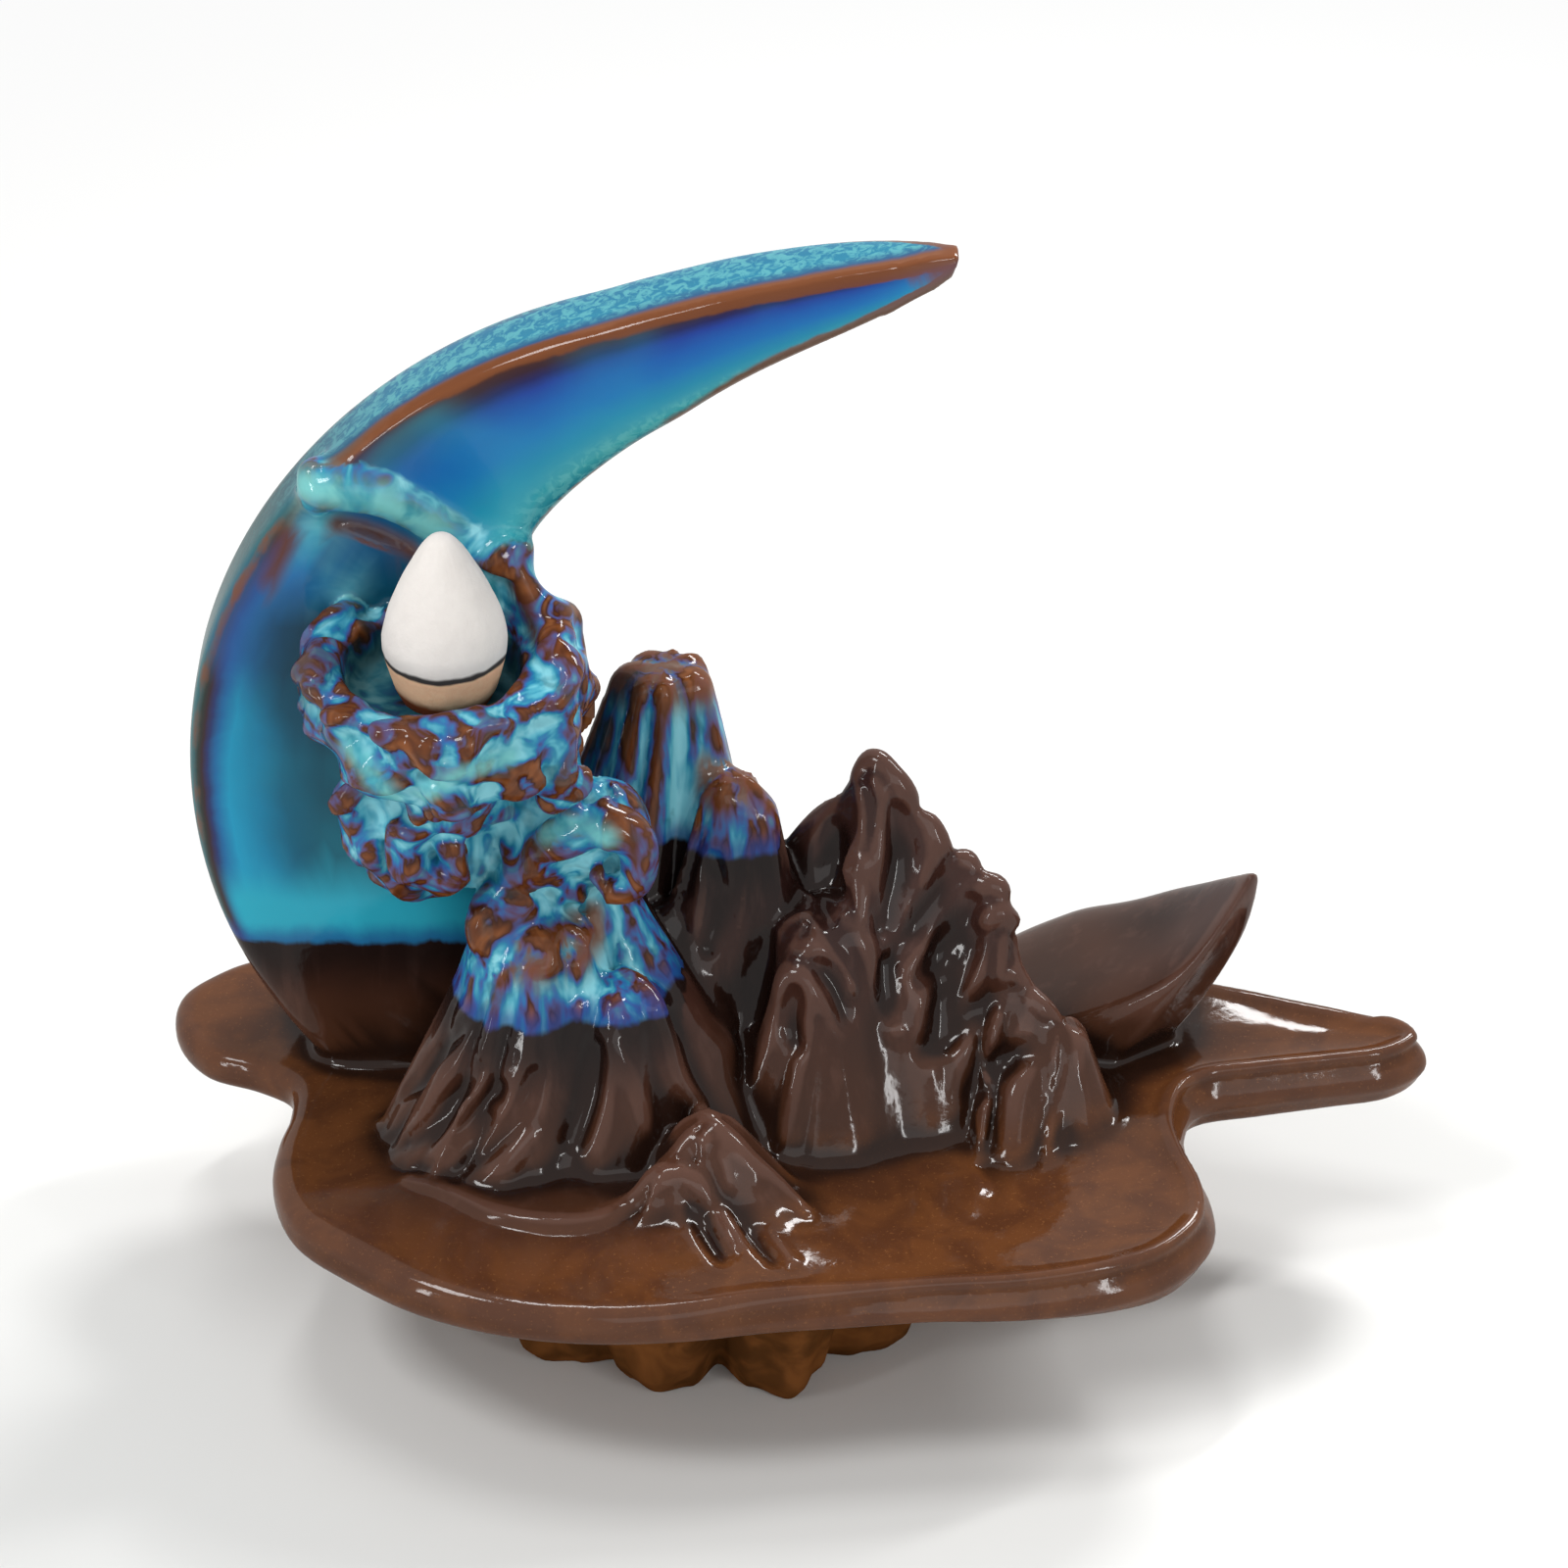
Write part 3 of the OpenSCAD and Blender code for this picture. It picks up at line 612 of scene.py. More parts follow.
def lumps(size, seed):
    """Smooth random lumps over the whole block, about -1 to 1."""
    rng = np.random.default_rng(seed)
    weights = []
    for axis in (xs, ys, zs):
        g = (axis - axis[0]) / size
        d = np.abs(g[:, None] + 1.5 - np.arange(int(g[-1]) + 5)[None])
        w = np.where(d < 0.5, 0.75 - d * d, np.where(d < 1.5, 0.5 * (1.5 - d) ** 2, 0))
        weights.append(w.astype(np.float32))
    lattice = rng.uniform(-1, 1, [w.shape[1] for w in weights]).astype(np.float32)
    block = np.einsum("zc,abc->abz", weights[2], lattice)
    block = np.einsum("yb,abz->ayz", weights[1], block)
    return 2.4 * np.einsum("xa,ayz->xyz", weights[0], block)


def curl_room():
    """Where the curls are: round the bowl and down its front."""
    x, y, z = xs[:, None, None], ys[None, :, None], zs[None, None, :]
    h = z - BOWL[2]
    round_bowl = np.hypot(x - BOWL[0] - 1, y - BOWL[1]) < 19
    right = ease((h + 36 + 0.9 * np.maximum(x - BOWL[0] - 4, 0)) / 4)
    return round_bowl * right * ease((2.5 - h) / 2) * ease((9.5 - y) / 3)


curls = lumps(CURL_SIZE, CURL_SEED)
curl_mask = curl_room().astype(np.float32)
clay -= curl_mask * CURL_HIGH * np.sin(curls * CURL_FOLD)
print("curls worked in:", round(float(curl_mask.sum() * STEP ** 3)), "cubic mm")

# %% [markdown]
# ## Drawing on the clay
# The fine ridges and valleys are drawn as a sculptor would draw them, with
# the camera's view before the eye. A stroke is a few points in the
# photograph's own pixels. Each point is thrown along the line of sight until
# it meets the clay, and there a thin roll is pressed on or a groove cut in.
# So a line lands where it belongs, and it still has depth from every side.

# %% Throwing a point
def sample(block, points):
    """Values of a block at points, mixed from the eight samples around."""
    g = (points - np.array((xs[0], ys[0], zs[0]))) / STEP
    i = np.clip(np.floor(g).astype(int), 0, np.array(block.shape) - 2)
    f = np.clip(g - i, 0, 1)
    out = 0
    for a in (0, 1):
        for b in (0, 1):
            for c in (0, 1):
                w = (np.abs(1 - a - f[:, 0]) * np.abs(1 - b - f[:, 1])
                     * np.abs(1 - c - f[:, 2]))
                out = out + w * block[i[:, 0] + a, i[:, 1] + b, i[:, 2] + c]
    return out


def thrown(px, py):
    """Where lines of sight through photo pixels first meet the clay."""
    way = (FORWARD + np.outer((px - PHOTO / 2) / FOCAL, (1, 0, 0))
           + np.outer((PHOTO / 2 - py) / FOCAL, UPWARD))
    steps = np.arange(DISTANCE - 90, DISTANCE + 80, 0.5)
    at = EYE + way[:, None, :] * steps[None, :, None]
    low, high = np.array((xs[0], ys[0], zs[0])), np.array((xs[-1], ys[-1], zs[-1]))
    inside = ((at > low) & (at < high)).all(2)
    value = np.full(inside.shape, FAR)
    value[inside] = sample(clay, at[inside])
    hit = value < 0
    first = np.where(hit.any(1), hit.argmax(1), -1)
    return EYE + way * steps[first][:, None], first >= 0, way


spot = np.array([900])       # on the tall mountain
print("the photograph's point (900, 900) lands at", thrown(spot, spot)[0][0].round(1), "mm")


# %% The stroke
def stroke(points, height, radius=1.0, melt=1.0):
    """Press a thin roll (height > 0) or cut a groove (height < 0) on the clay."""
    line = smooth_line(points, 6)
    at, met, way = thrown(line[:, 0], line[:, 1])
    if met.sum() < 3:
        print("a stroke misses the clay:", points[0])
        return
    n = np.arange(len(at))
    along = np.array([(p * w).sum() for p, w in zip(at - EYE, way)])
    along = along / (way * way).sum(1)
    along = np.interp(n, n[met], along[met])
    for _ in range(3):
        along[1:-1] = (along[:-2] + 2 * along[1:-1] + along[2:]) / 4
    ends = np.sin(np.pi * np.clip(n / (len(n) - 1), 0.04, 0.96)) ** 0.5
    size = radius * (0.45 + 0.55 * ends)
    sink = size - abs(height) * ends
    side = 1 if height > 0 else -1
    middle = EYE + way * (along + side * sink)[:, None]

    def form(x, y, z):
        best = np.full(np.broadcast(x, y, z).shape, 99.0)
        for a, b, r0, r1 in zip(middle[:-1], middle[1:], size[:-1], size[1:]):
            u = b - a
            t = ((x - a[0]) * u[0] + (y - a[1]) * u[1] + (z - a[2]) * u[2])
            t = np.clip(t / max(u @ u, 1e-6), 0, 1)
            away = np.sqrt((x - a[0] - t * u[0]) ** 2 + (y - a[1] - t * u[1]) ** 2
                           + (z - a[2] - t * u[2]) ** 2)
            best = np.minimum(best, away - r0 - t * (r1 - r0))
        return best
    low, high = middle.min(0) - radius - 4, middle.max(0) + radius + 4
    if height > 0:
        press(form, tuple(low), tuple(high), melt)
    else:
        carve(form, tuple(low), tuple(high), melt)


stroke([(340, 531), (366, 534), (396, 545), (428, 562)], -1.2, 1.6, 1.0)
weigh("groove cut below the roll on the moon")

# %% [markdown]
# ## Folds of the mountains
# The tall mountain has two thin ribs down its middle and long dark valleys
# that lean to the left on its right flank. Beads of glaze sit on the crest.
# Each stroke is its points, its height in mm (a groove's is negative), its
# thickness and how far it melts into the clay.

# %% Tall mountain
for line in ([(877, 792), (883, 826), (882, 862), (879, 887), (877, 915), (884, 958)],
             [(894, 796), (903, 822), (898, 862), (895, 893), (900, 930), (905, 966)]):
    stroke(line, 0.9, 1.1, 0.9)
stroke([(884, 960), (890, 972), (900, 970)], 0.7, 0.9)
for line in ([(975, 884), (960, 912), (946, 936), (930, 958), (908, 984)],
             [(988, 925), (975, 950), (962, 975), (945, 1000)],
             [(992, 960), (978, 994), (966, 1025), (955, 1055)],
             [(1030, 1005), (1000, 1030), (968, 1056), (946, 1074)],
             [(1052, 1071), (1030, 1079), (1008, 1098), (996, 1116)],
             [(918, 830), (922, 870), (916, 910), (908, 945)],
             [(852, 850), (848, 890), (846, 930)]):
    stroke(line, -1.3, 2.0, 1.6)
for line in ([(972, 884), (983, 878), (992, 882)],
             [(1003, 905), (1014, 903), (1024, 912)], [(1008, 940), (1020, 932), (1034, 940)],
             [(1022, 1000), (1032, 994), (1042, 1004)], [(877, 790), (890, 776), (905, 780)],
             [(912, 788), (922, 806), (930, 818)], [(1049, 1018), (1062, 1028), (1074, 1040)]):
    stroke(line, 0.9, 1.5, 1.0)
weigh("tall mountain drawn")

# %% Front mountains
for line in ([(814, 1003), (812, 985), (818, 974), (832, 971), (848, 985), (862, 1008)],
             [(800, 1022), (803, 1003), (812, 995), (824, 1003), (834, 1024)],
             [(842, 920), (860, 932), (872, 955), (884, 984), (896, 1015), (914, 1050)]):
    stroke(line, 0.9, 1.6, 1.4)
for line in ([(838, 985), (856, 1010), (866, 1040)], [(906, 985), (907, 1010), (908, 1035)],
             [(808, 1015), (806, 1045), (812, 1068)], [(782, 960), (776, 1000), (768, 1040)]):
    stroke(line, -0.9, 1.4, 1.4)
for line in ([(623, 1006), (634, 1000), (648, 1006), (662, 1022), (668, 1032)],
             [(588, 1028), (600, 1018), (618, 1022), (632, 1036)],
             [(623, 1063), (636, 1090), (648, 1125), (660, 1160)],
             [(668, 1030), (677, 1060), (687, 1099), (705, 1125), (722, 1143)],
             [(722, 1143), (742, 1165), (760, 1186), (790, 1210), (820, 1238)]):
    stroke(line, 0.8, 1.5, 1.2)
for line in ([(470, 1045), (450, 1070), (430, 1098), (414, 1112)],
             [(484, 1090), (460, 1125), (436, 1150), (412, 1164)],
             [(508, 1110), (484, 1150), (452, 1176)],
             [(545, 1100), (522, 1150), (490, 1190)],
             [(607, 1070), (600, 1120), (585, 1165)],
             [(728, 880), (733, 912), (731, 940), (723, 968)],
             [(708, 1225), (722, 1250), (736, 1280)], [(746, 1222), (768, 1250), (790, 1282)]):
    stroke(line, -0.9, 1.5, 1.4)
for line in ([(510, 1130), (488, 1155), (464, 1172), (424, 1188)],
             [(540, 1160), (514, 1188), (482, 1208)],
             [(419, 1207), (464, 1222), (505, 1240), (553, 1249), (604, 1248), (642, 1230),
              (676, 1200)],
             [(677, 1207), (692, 1200), (708, 1206), (724, 1228), (740, 1254), (750, 1275)],
             [(716, 1165), (728, 1170), (738, 1190), (752, 1225), (772, 1258), (808, 1292)],
             [(671, 921), (692, 954), (716, 1003), (742, 1044)]):
    stroke(line, 0.7, 1.4, 1.3)
weigh("front mountains drawn")

# %% [markdown]
# ## The foot
# The burner stands on a rock that is a mountain upside down. Its ribs end in
# teeth round a hollow, where the mould's core sat. The bowl is hollowed last,
# as a potter would do it, and a narrow passage leads from its floor to a
# mouth under the clouds.

# %% Foot
FOOT = (-11, 3)


def rock(x, y, z):
    """The rock under the plate, wider towards its top."""
    rise = np.clip(z / (PLATE_TOP - 4.2), 0, 1)
    spread = np.interp(rise, (0, 0.14, 0.42, 0.72, 1), (0.9, 1, 1.08, 1.2, 1.34))
    rx, ry = 28 * spread, 25 * spread
    turn = np.arctan2((y - FOOT[1]) / ry, (x - FOOT[0]) / rx)
    rib = (0.13 - 0.05 * rise) * rib_wave(turn - math.radians(10.8), 11, 74, 0.4, 0.2,
                                          0.2, 0)
    reach = np.hypot((x - FOOT[0]) / rx, (y - FOOT[1]) / ry) / (1 + rib)
    side = as_distance((reach - 1) * np.minimum(rx, ry))
    return -soft_min(-side, -np.maximum(-z, z - PLATE_TOP + 2), 0.8)


def core(x, y, z):
    """The hollow in the rock."""
    shrink = 1 - 0.28 * np.clip(z / 19, 0, 1)
    r = np.hypot((x - FOOT[0]) / 17.4, (y - FOOT[1]) / 15) / shrink - 1
    return -soft_min(-r * 15, -(z - 19), 1.5)


press(rock, (-60, -44, -3), (35, 44, 28), 2.0)
carve(core, (-32, -16, -3), (10, 22, 24), 1.0)
weigh("foot pressed and hollowed")


# %% Cup and passage
def cup(x, y, z):
    """The inside of the bowl."""
    h = z - CONE_AT[2]
    r = np.hypot(x - BOWL[0] + 0.5, y - BOWL[1])
    wide = BOWL_R * np.interp(h, (0, BOWL_DEPTH, 7), (0.82, 0.92, 1.0))
    return -soft_min(-(r - wide), -np.maximum(-h, h - 11.4), 1.2)


def passage(x, y, z):
    """A bent tube, 4.2 mm wide, from the bowl's floor to its mouth."""
    stops = np.array([CONE_AT + (0, 0, 1), BOWL + (4, -2, -12.5), BOWL + (9.5, -13, -17)])
    best = np.full(np.broadcast(x, y, z).shape, 99.0)
    for a, b in zip(stops[:-1], stops[1:]):
        u = b - a
        t = np.clip(((x - a[0]) * u[0] + (y - a[1]) * u[1] + (z - a[2]) * u[2]) / (u @ u),
                    0, 1)
        best = np.minimum(best, np.sqrt((x - a[0] - t * u[0]) ** 2
                                        + (y - a[1] - t * u[1]) ** 2
                                        + (z - a[2] - t * u[2]) ** 2) - 2.1)
    return best


carve(cup, tuple(BOWL - (16, 16, 8)), tuple(BOWL + (16, 16, 8)), 1.0)
carve(passage, tuple(BOWL - (10, 20, 24)), tuple(BOWL + (18, 10, 4)), 0.8)
clay[:, :, :] = np.maximum(clay, -zs[None, None, :])
weigh("cup and passage carved")

# %% [markdown]
# ## From clay to skin
# The block becomes one closed skin, where its samples change sign. A Remesh
# modifier does the same to a mesh, but here there is no mesh to start from.
# A blurred copy of the block tells more: where the blurred clay is thinner
# than the real one, the skin is a sharp edge, and where it is thicker, a
# hollow. The glaze needs both.

# %% Skin
def blur(block, reach):
    """Box blur along each axis, twice, over a reach in mm."""
    n = max(1, int(round(reach / STEP)))
    for axis in (0, 1, 2, 0, 1, 2):
        pad = [(0, 0)] * 3
        pad[axis] = (n + 1, n)
        total = np.cumsum(np.pad(block, pad, mode="edge"), axis=axis, dtype=np.float64)
        hi = np.take(total, range(2 * n + 1, total.shape[axis]), axis=axis)
        lo = np.take(total, range(0, total.shape[axis] - 2 * n - 1), axis=axis)
        block = ((hi - lo) / (2 * n + 1)).astype(np.float32)
    return block


clay = np.clip(clay, -FAR, FAR)
grid = vdb.FloatGrid(FAR)
grid.copyFromArray(clay)
points, quads = grid.convertToQuads(isovalue=0.0)
points = np.asarray(points, np.float32) * STEP + (xs[0], ys[0], zs[0])
print("skin:", len(points), "points,", len(quads), "quads")

# %% Mesh helpers
def mesh_from(name, points_mm, faces):
    """A mesh object from points in mm and faces of one kind."""
    mesh = bpy.data.meshes.new(name)
    n = faces.shape[1]
    mesh.vertices.add(len(points_mm))
    mesh.vertices.foreach_set("co", (points_mm * MM).astype(np.float32).ravel())
    mesh.loops.add(faces.size)
    mesh.loops.foreach_set("vertex_index", faces.astype(np.int32).ravel())
    mesh.polygons.add(len(faces))
    mesh.polygons.foreach_set("loop_start", np.arange(0, faces.size, n, dtype=np.int32))
    mesh.update(calc_edges=True)
    mesh.validate()
    obj = bpy.data.objects.new(name, mesh)
    bpy.context.scene.collection.objects.link(obj)
    return obj


def settled(obj):
    """Turn an object's modifiers into its plain mesh."""
    evaluated = obj.evaluated_get(bpy.context.evaluated_depsgraph_get())
    plain = bpy.data.meshes.new_from_object(evaluated)
    obj.modifiers.clear()
    old = obj.data
    obj.data = plain
    bpy.data.meshes.remove(old)
    return obj


def corners(mesh):
    """A mesh's points in mm."""
    co = np.empty(len(mesh.vertices) * 3, np.float32)
    mesh.vertices.foreach_get("co", co)
    return co.reshape(-1, 3) / MM


print("helpers ready")

# %% The casting
SKIN_MOST = 190000           # triangles
casting = mesh_from("casting", points, np.asarray(quads)[:, ::-1])
if len(quads) * 2 > SKIN_MOST:
    thin = casting.modifiers.new("thin", "DECIMATE")
    thin.ratio = SKIN_MOST / (len(quads) * 2)
    settled(casting)
inward = sum(p.area * p.normal.dot(p.center) for p in casting.data.polygons) < 0
if inward:
    casting.data.flip_normals()
print("casting:", len(casting.data.polygons), "faces", "turned outwards" if inward else "")

# %% [markdown]
# ## What the glaze knows
# Glaze runs off edges and pools in hollows, and each part was dipped to its
# own depth. The material can't see that by itself, so each point of the skin
# gets a few numbers: how sharp it is, how hollow, how far it is above the dip
# line, and whether it belongs to the clouds, the moon or the bare foot.
# Vertex paint would do it by hand. Here the numbers come from the clay.

# %% Sharp and hollow
at = corners(casting.data)
x, y, z = at.T
skin_maps = {"sharp": np.clip(sample(blur(clay, 0.9), at) / 0.22, -1, 1),
             "round": np.clip(sample(blur(clay, 2.6), at) / 1.1, -1, 1)}
outwards = np.stack([sample(g, at) for g in np.gradient(clay, STEP)], 1)
outwards /= np.maximum(np.linalg.norm(outwards, axis=1, keepdims=True), 1e-6)
print("sharp points:", int((skin_maps["sharp"] > 0.5).sum()), "of", len(at))


# %% Where the clouds are
def near_rolls(points_mm):
    """Distance in mm to the nearest roll of cloud."""
    best = np.full(len(points_mm), 99.0)
    for line in cloud_rolls:
        for row in line[::2]:
            best = np.minimum(best, np.linalg.norm(points_mm - row[:3], axis=1) - row[3])
    return best


cloud = 1 - ease((near_rolls(at) - 0.6) / 3)
drum_near = np.hypot(x - BOWL[0], y - BOWL[1]) < 17
cloud = np.maximum(cloud, drum_near * ease((z - BOWL[2] + 22) / 6)
                   * ease((BOWL[2] + 2 - z) / 2) * ease((9 - y) / 3))
cloud *= ease((9.6 - y) / 1.5)
skin_maps["cloud"] = cloud
print("points on the clouds:", int((cloud > 0.5).sum()))

# %% Where the moon is
# the lane: -1 at the moon's inner edge, 1 at its outer, more on its walls
angle, _, _, across = moon_place(x, z)
on_moon = ease((y - MOON_FACE + 2.5) / 1.5) * (np.abs(across) < 1.25)
on_moon *= (z > 26) & ((x < -20) | (z > 82) | (x > 18)) & (cloud < 0.5)
off_moon = ease((moon(x, y, z) - 0.6) / 1.2)
on_moon *= 1 - off_moon * (y > MOON_FACE + 1)
wall = np.maximum(y - MOON_FACE - 0.8, 0) / 12
lane = across + np.sign(across) * wall * ease((np.abs(across) - 0.7) / 0.3)
skin_maps.update(moon=on_moon, lane=lane, arm=ease((150 - angle) / 25))
print("points on the moon:", int((on_moon > 0.5).sum()))

# %% The dip line
# how high the upper glaze was dipped, part by part, in mm above the table
NO_DIP = 200
line_z = np.where(on_moon > 0.5, 46.2, np.where(y < 4, np.where(x < -14, 47.8, NO_DIP), 59))
line_z = np.where((x > -2.4) & (z < 82), NO_DIP, line_z)
dip = np.clip((z - line_z) / 12, -1, 1)
skin_maps["dip"] = np.maximum(dip, (cloud * (z > 50)) * 2 - 1)
print("share under the blue glaze:", round(float((skin_maps["dip"] > 0).mean()), 2))


# %% Lines brushed on the skin
def near_line(line, reach):
    """How near each point is to a line drawn in the photograph, 1 to 0."""
    line = smooth_line(line, 5)
    spots, met, _ = thrown(line[:, 0].astype(float), line[:, 1].astype(float))
    best = np.full(len(at), 99.0)
    for spot in spots[met]:
        best = np.minimum(best, np.linalg.norm(at - spot, axis=1))
    return 1 - ease(best / reach)


def brushed(lines):
    """The most of several lines: each is its points, its reach and its amount."""
    return np.max([near_line(line, reach) * amount for line, reach, amount in lines], axis=0)


ROLL_LINE = [(306, 496), (326, 500), (350, 506), (376, 512), (402, 520), (428, 532),
             (446, 545)]
skin_maps["pale"] = brushed([
    (ROLL_LINE, 4.4, 0.95), ([(312, 500), (320, 525), (330, 562), (350, 590)], 5.0, 0.5),
    ([(360, 760), (378, 790), (400, 812)], 2.5, 0.9),
    ([(430, 812), (470, 790), (520, 770)], 2.0, 0.9),
    ([(560, 850), (590, 842), (618, 856)], 2.5, 0.9)])
skin_maps["streak"] = brushed([
    ([(344, 535), (366, 539), (396, 550), (428, 566)], 2.4, 1),
    ([(297, 546), (288, 566), (276, 592)], 2.2, 1),
    ([(524, 598), (536, 620), (548, 650)], 2.0, 1)])
skin_maps["shade"] = brushed([([(302, 640), (294, 668), (300, 700)], 9.0, 1),
                              ([(602, 778), (612, 740), (632, 700)], 5.0, 1)])
skin_maps["haze"] = brushed([([(252, 668), (268, 630), (296, 596), (335, 580)], 7.0, 1)])
print("points with pale glaze:", int((skin_maps["pale"] > 0.5).sum()))

# %% Crowns, painted shade in the cup, plate and foot
crown = np.zeros(len(at))
for tip, wide in (((-17, 20.5, 79.4), 11), ((-7.2, 13.5, 68), 6.5), ((-31, -3.6, 57), 9)):
    away = np.hypot(x - tip[0], y - tip[1])
    crown = np.maximum(crown, ease((wide - away) / 2) * ease((z - tip[2] + 5.5) / 4)
                       * ease((tip[2] + 3 - z) / 2) * (cloud < 0.3))
# painted shade: the inside of the bowl is darkened where it lies in shade
cup_shade = np.hypot(x - BOWL[0] + 0.5, y - BOWL[1]) < 10.6
cup_shade = cup_shade * ease((BOWL[2] + 1.5 - z) / 3) * (z > BOWL[2] - 8)
skin_maps.update(crown=crown * (1 - on_moon), cup=cup_shade,
                 plate=ease((PLATE_TOP + 3.5 - z) / 3), foot=ease((PLATE_TOP - 7 - z) / 3))
print("points on the crowns:", int((skin_maps["crown"] > 0.5).sum()))

# %% Write the maps
for name, values in skin_maps.items():
    attribute = casting.data.attributes.new(name, "FLOAT", "POINT")
    attribute.data.foreach_set("value", values.astype(np.float32))
casting.data.polygons.foreach_set("use_smooth", [True] * len(casting.data.polygons))
casting.data.normals_split_custom_set_from_vertices(outwards)
print("maps:", list(skin_maps))

# %% [markdown]
# ## Nodes from a script
# The cone's shape and both finishes are trees of nodes. They could be drawn
# by hand in the node editor, but then nobody could read them here. One small
# function adds any node: its kind, its settings, and what goes into its
# inputs, which may be a number, a colour or another node's output. It hands
# back one output, ready for the next node. The names in capitals are short
# words for the kinds and settings that come back often.

# %% The node function
MATH, MIX, NOISE, RANGE = ("ShaderNodeMath", "ShaderNodeMix", "ShaderNodeTexNoise",
                           "ShaderNodeMapRange")
ADD, TAKE, TIMES, TIMES_ADD, MOST, LEAST, COS, SIN = (
    {"operation": word} for word in ("ADD", "SUBTRACT", "MULTIPLY", "MULTIPLY_ADD",
                                     "MAXIMUM", "MINIMUM", "COSINE", "SINE"))
PAINT = {"data_type": "RGBA"}
SOFT = {"interpolation_type": "SMOOTHSTEP"}


def colour(code):
    """sRGB hex to the linear values that a shader wants."""
    parts = [int(code[i:i + 2], 16) / 255 for i in (1, 3, 5)]
    return (*[c / 12.92 if c <= 0.04045 else ((c + 0.055) / 1.055) ** 2.4 for c in parts],
            1.0)


def add_node(tree, kind, settings=None, inputs=None, out=0):
    """Add a node, set its properties, link or set its inputs, give one output."""
    node = tree.nodes.new(kind)
    for key, value in (settings or {}).items():
        setattr(node, key, value)
    for key, value in (inputs or {}).items():
        socket = node.inputs[key]
        if isinstance(value, bpy.types.NodeSocket):
            tree.links.new(value, socket)
        else:
            socket.default_value = colour(value) if isinstance(value, str) else value
    return node.outputs[out] if len(node.outputs) else None


print("a brown of #804020 is", [round(v, 3) for v in colour("#804020")[:3]], "in linear")

# %% [markdown]
# ## The incense cone
# Incense powder is pressed in a mould into a cone with a rounded waist. It
# could be turned with a Screw modifier. A small node tree is used instead,
# because its sizes stay named inputs: it bends a flat sheet round, so that
# one side of the sheet runs round the cone and the other up its profile. A
# little noise gives the pressed powder its uneven skin.

# %% The cone's profile
# (share of the way along the profile, share of the half width or the height)
CONE_PROFILE = [(0, 0), (0.2, 0.70), (0.24, 0.73), (0.34, 0.92), (0.42, 1.0), (0.5, 0.97),
                (0.65, 0.79), (0.8, 0.5), (0.9, 0.27), (0.96, 0.15), (1, 0)]
CONE_RISE = [(0, 0.0), (0.2, 0.0), (0.24, 0.012), (0.34, 0.20), (0.42, 0.34), (0.5, 0.43),
             (0.65, 0.62), (0.8, 0.82), (0.9, 0.945), (0.96, 0.985), (1, 1.0)]
CONE_SIZES = {"Width": 14.6, "Height": 21.6, "Grain": 0.3, "Seed": 3}     # mm, but the seed


def set_points(node, points):
    """Set the points of a Float Curve node, which starts with two."""
    spots = node.mapping.curves[0].points
    for i, (along, value) in enumerate(points):
        if i < 2:
            spots[i].location = (along, value)
        else:
            spots.new(along, value)
    node.mapping.update()


print("cone:", CONE_SIZES["Width"], "mm wide and", CONE_SIZES["Height"], "mm high")


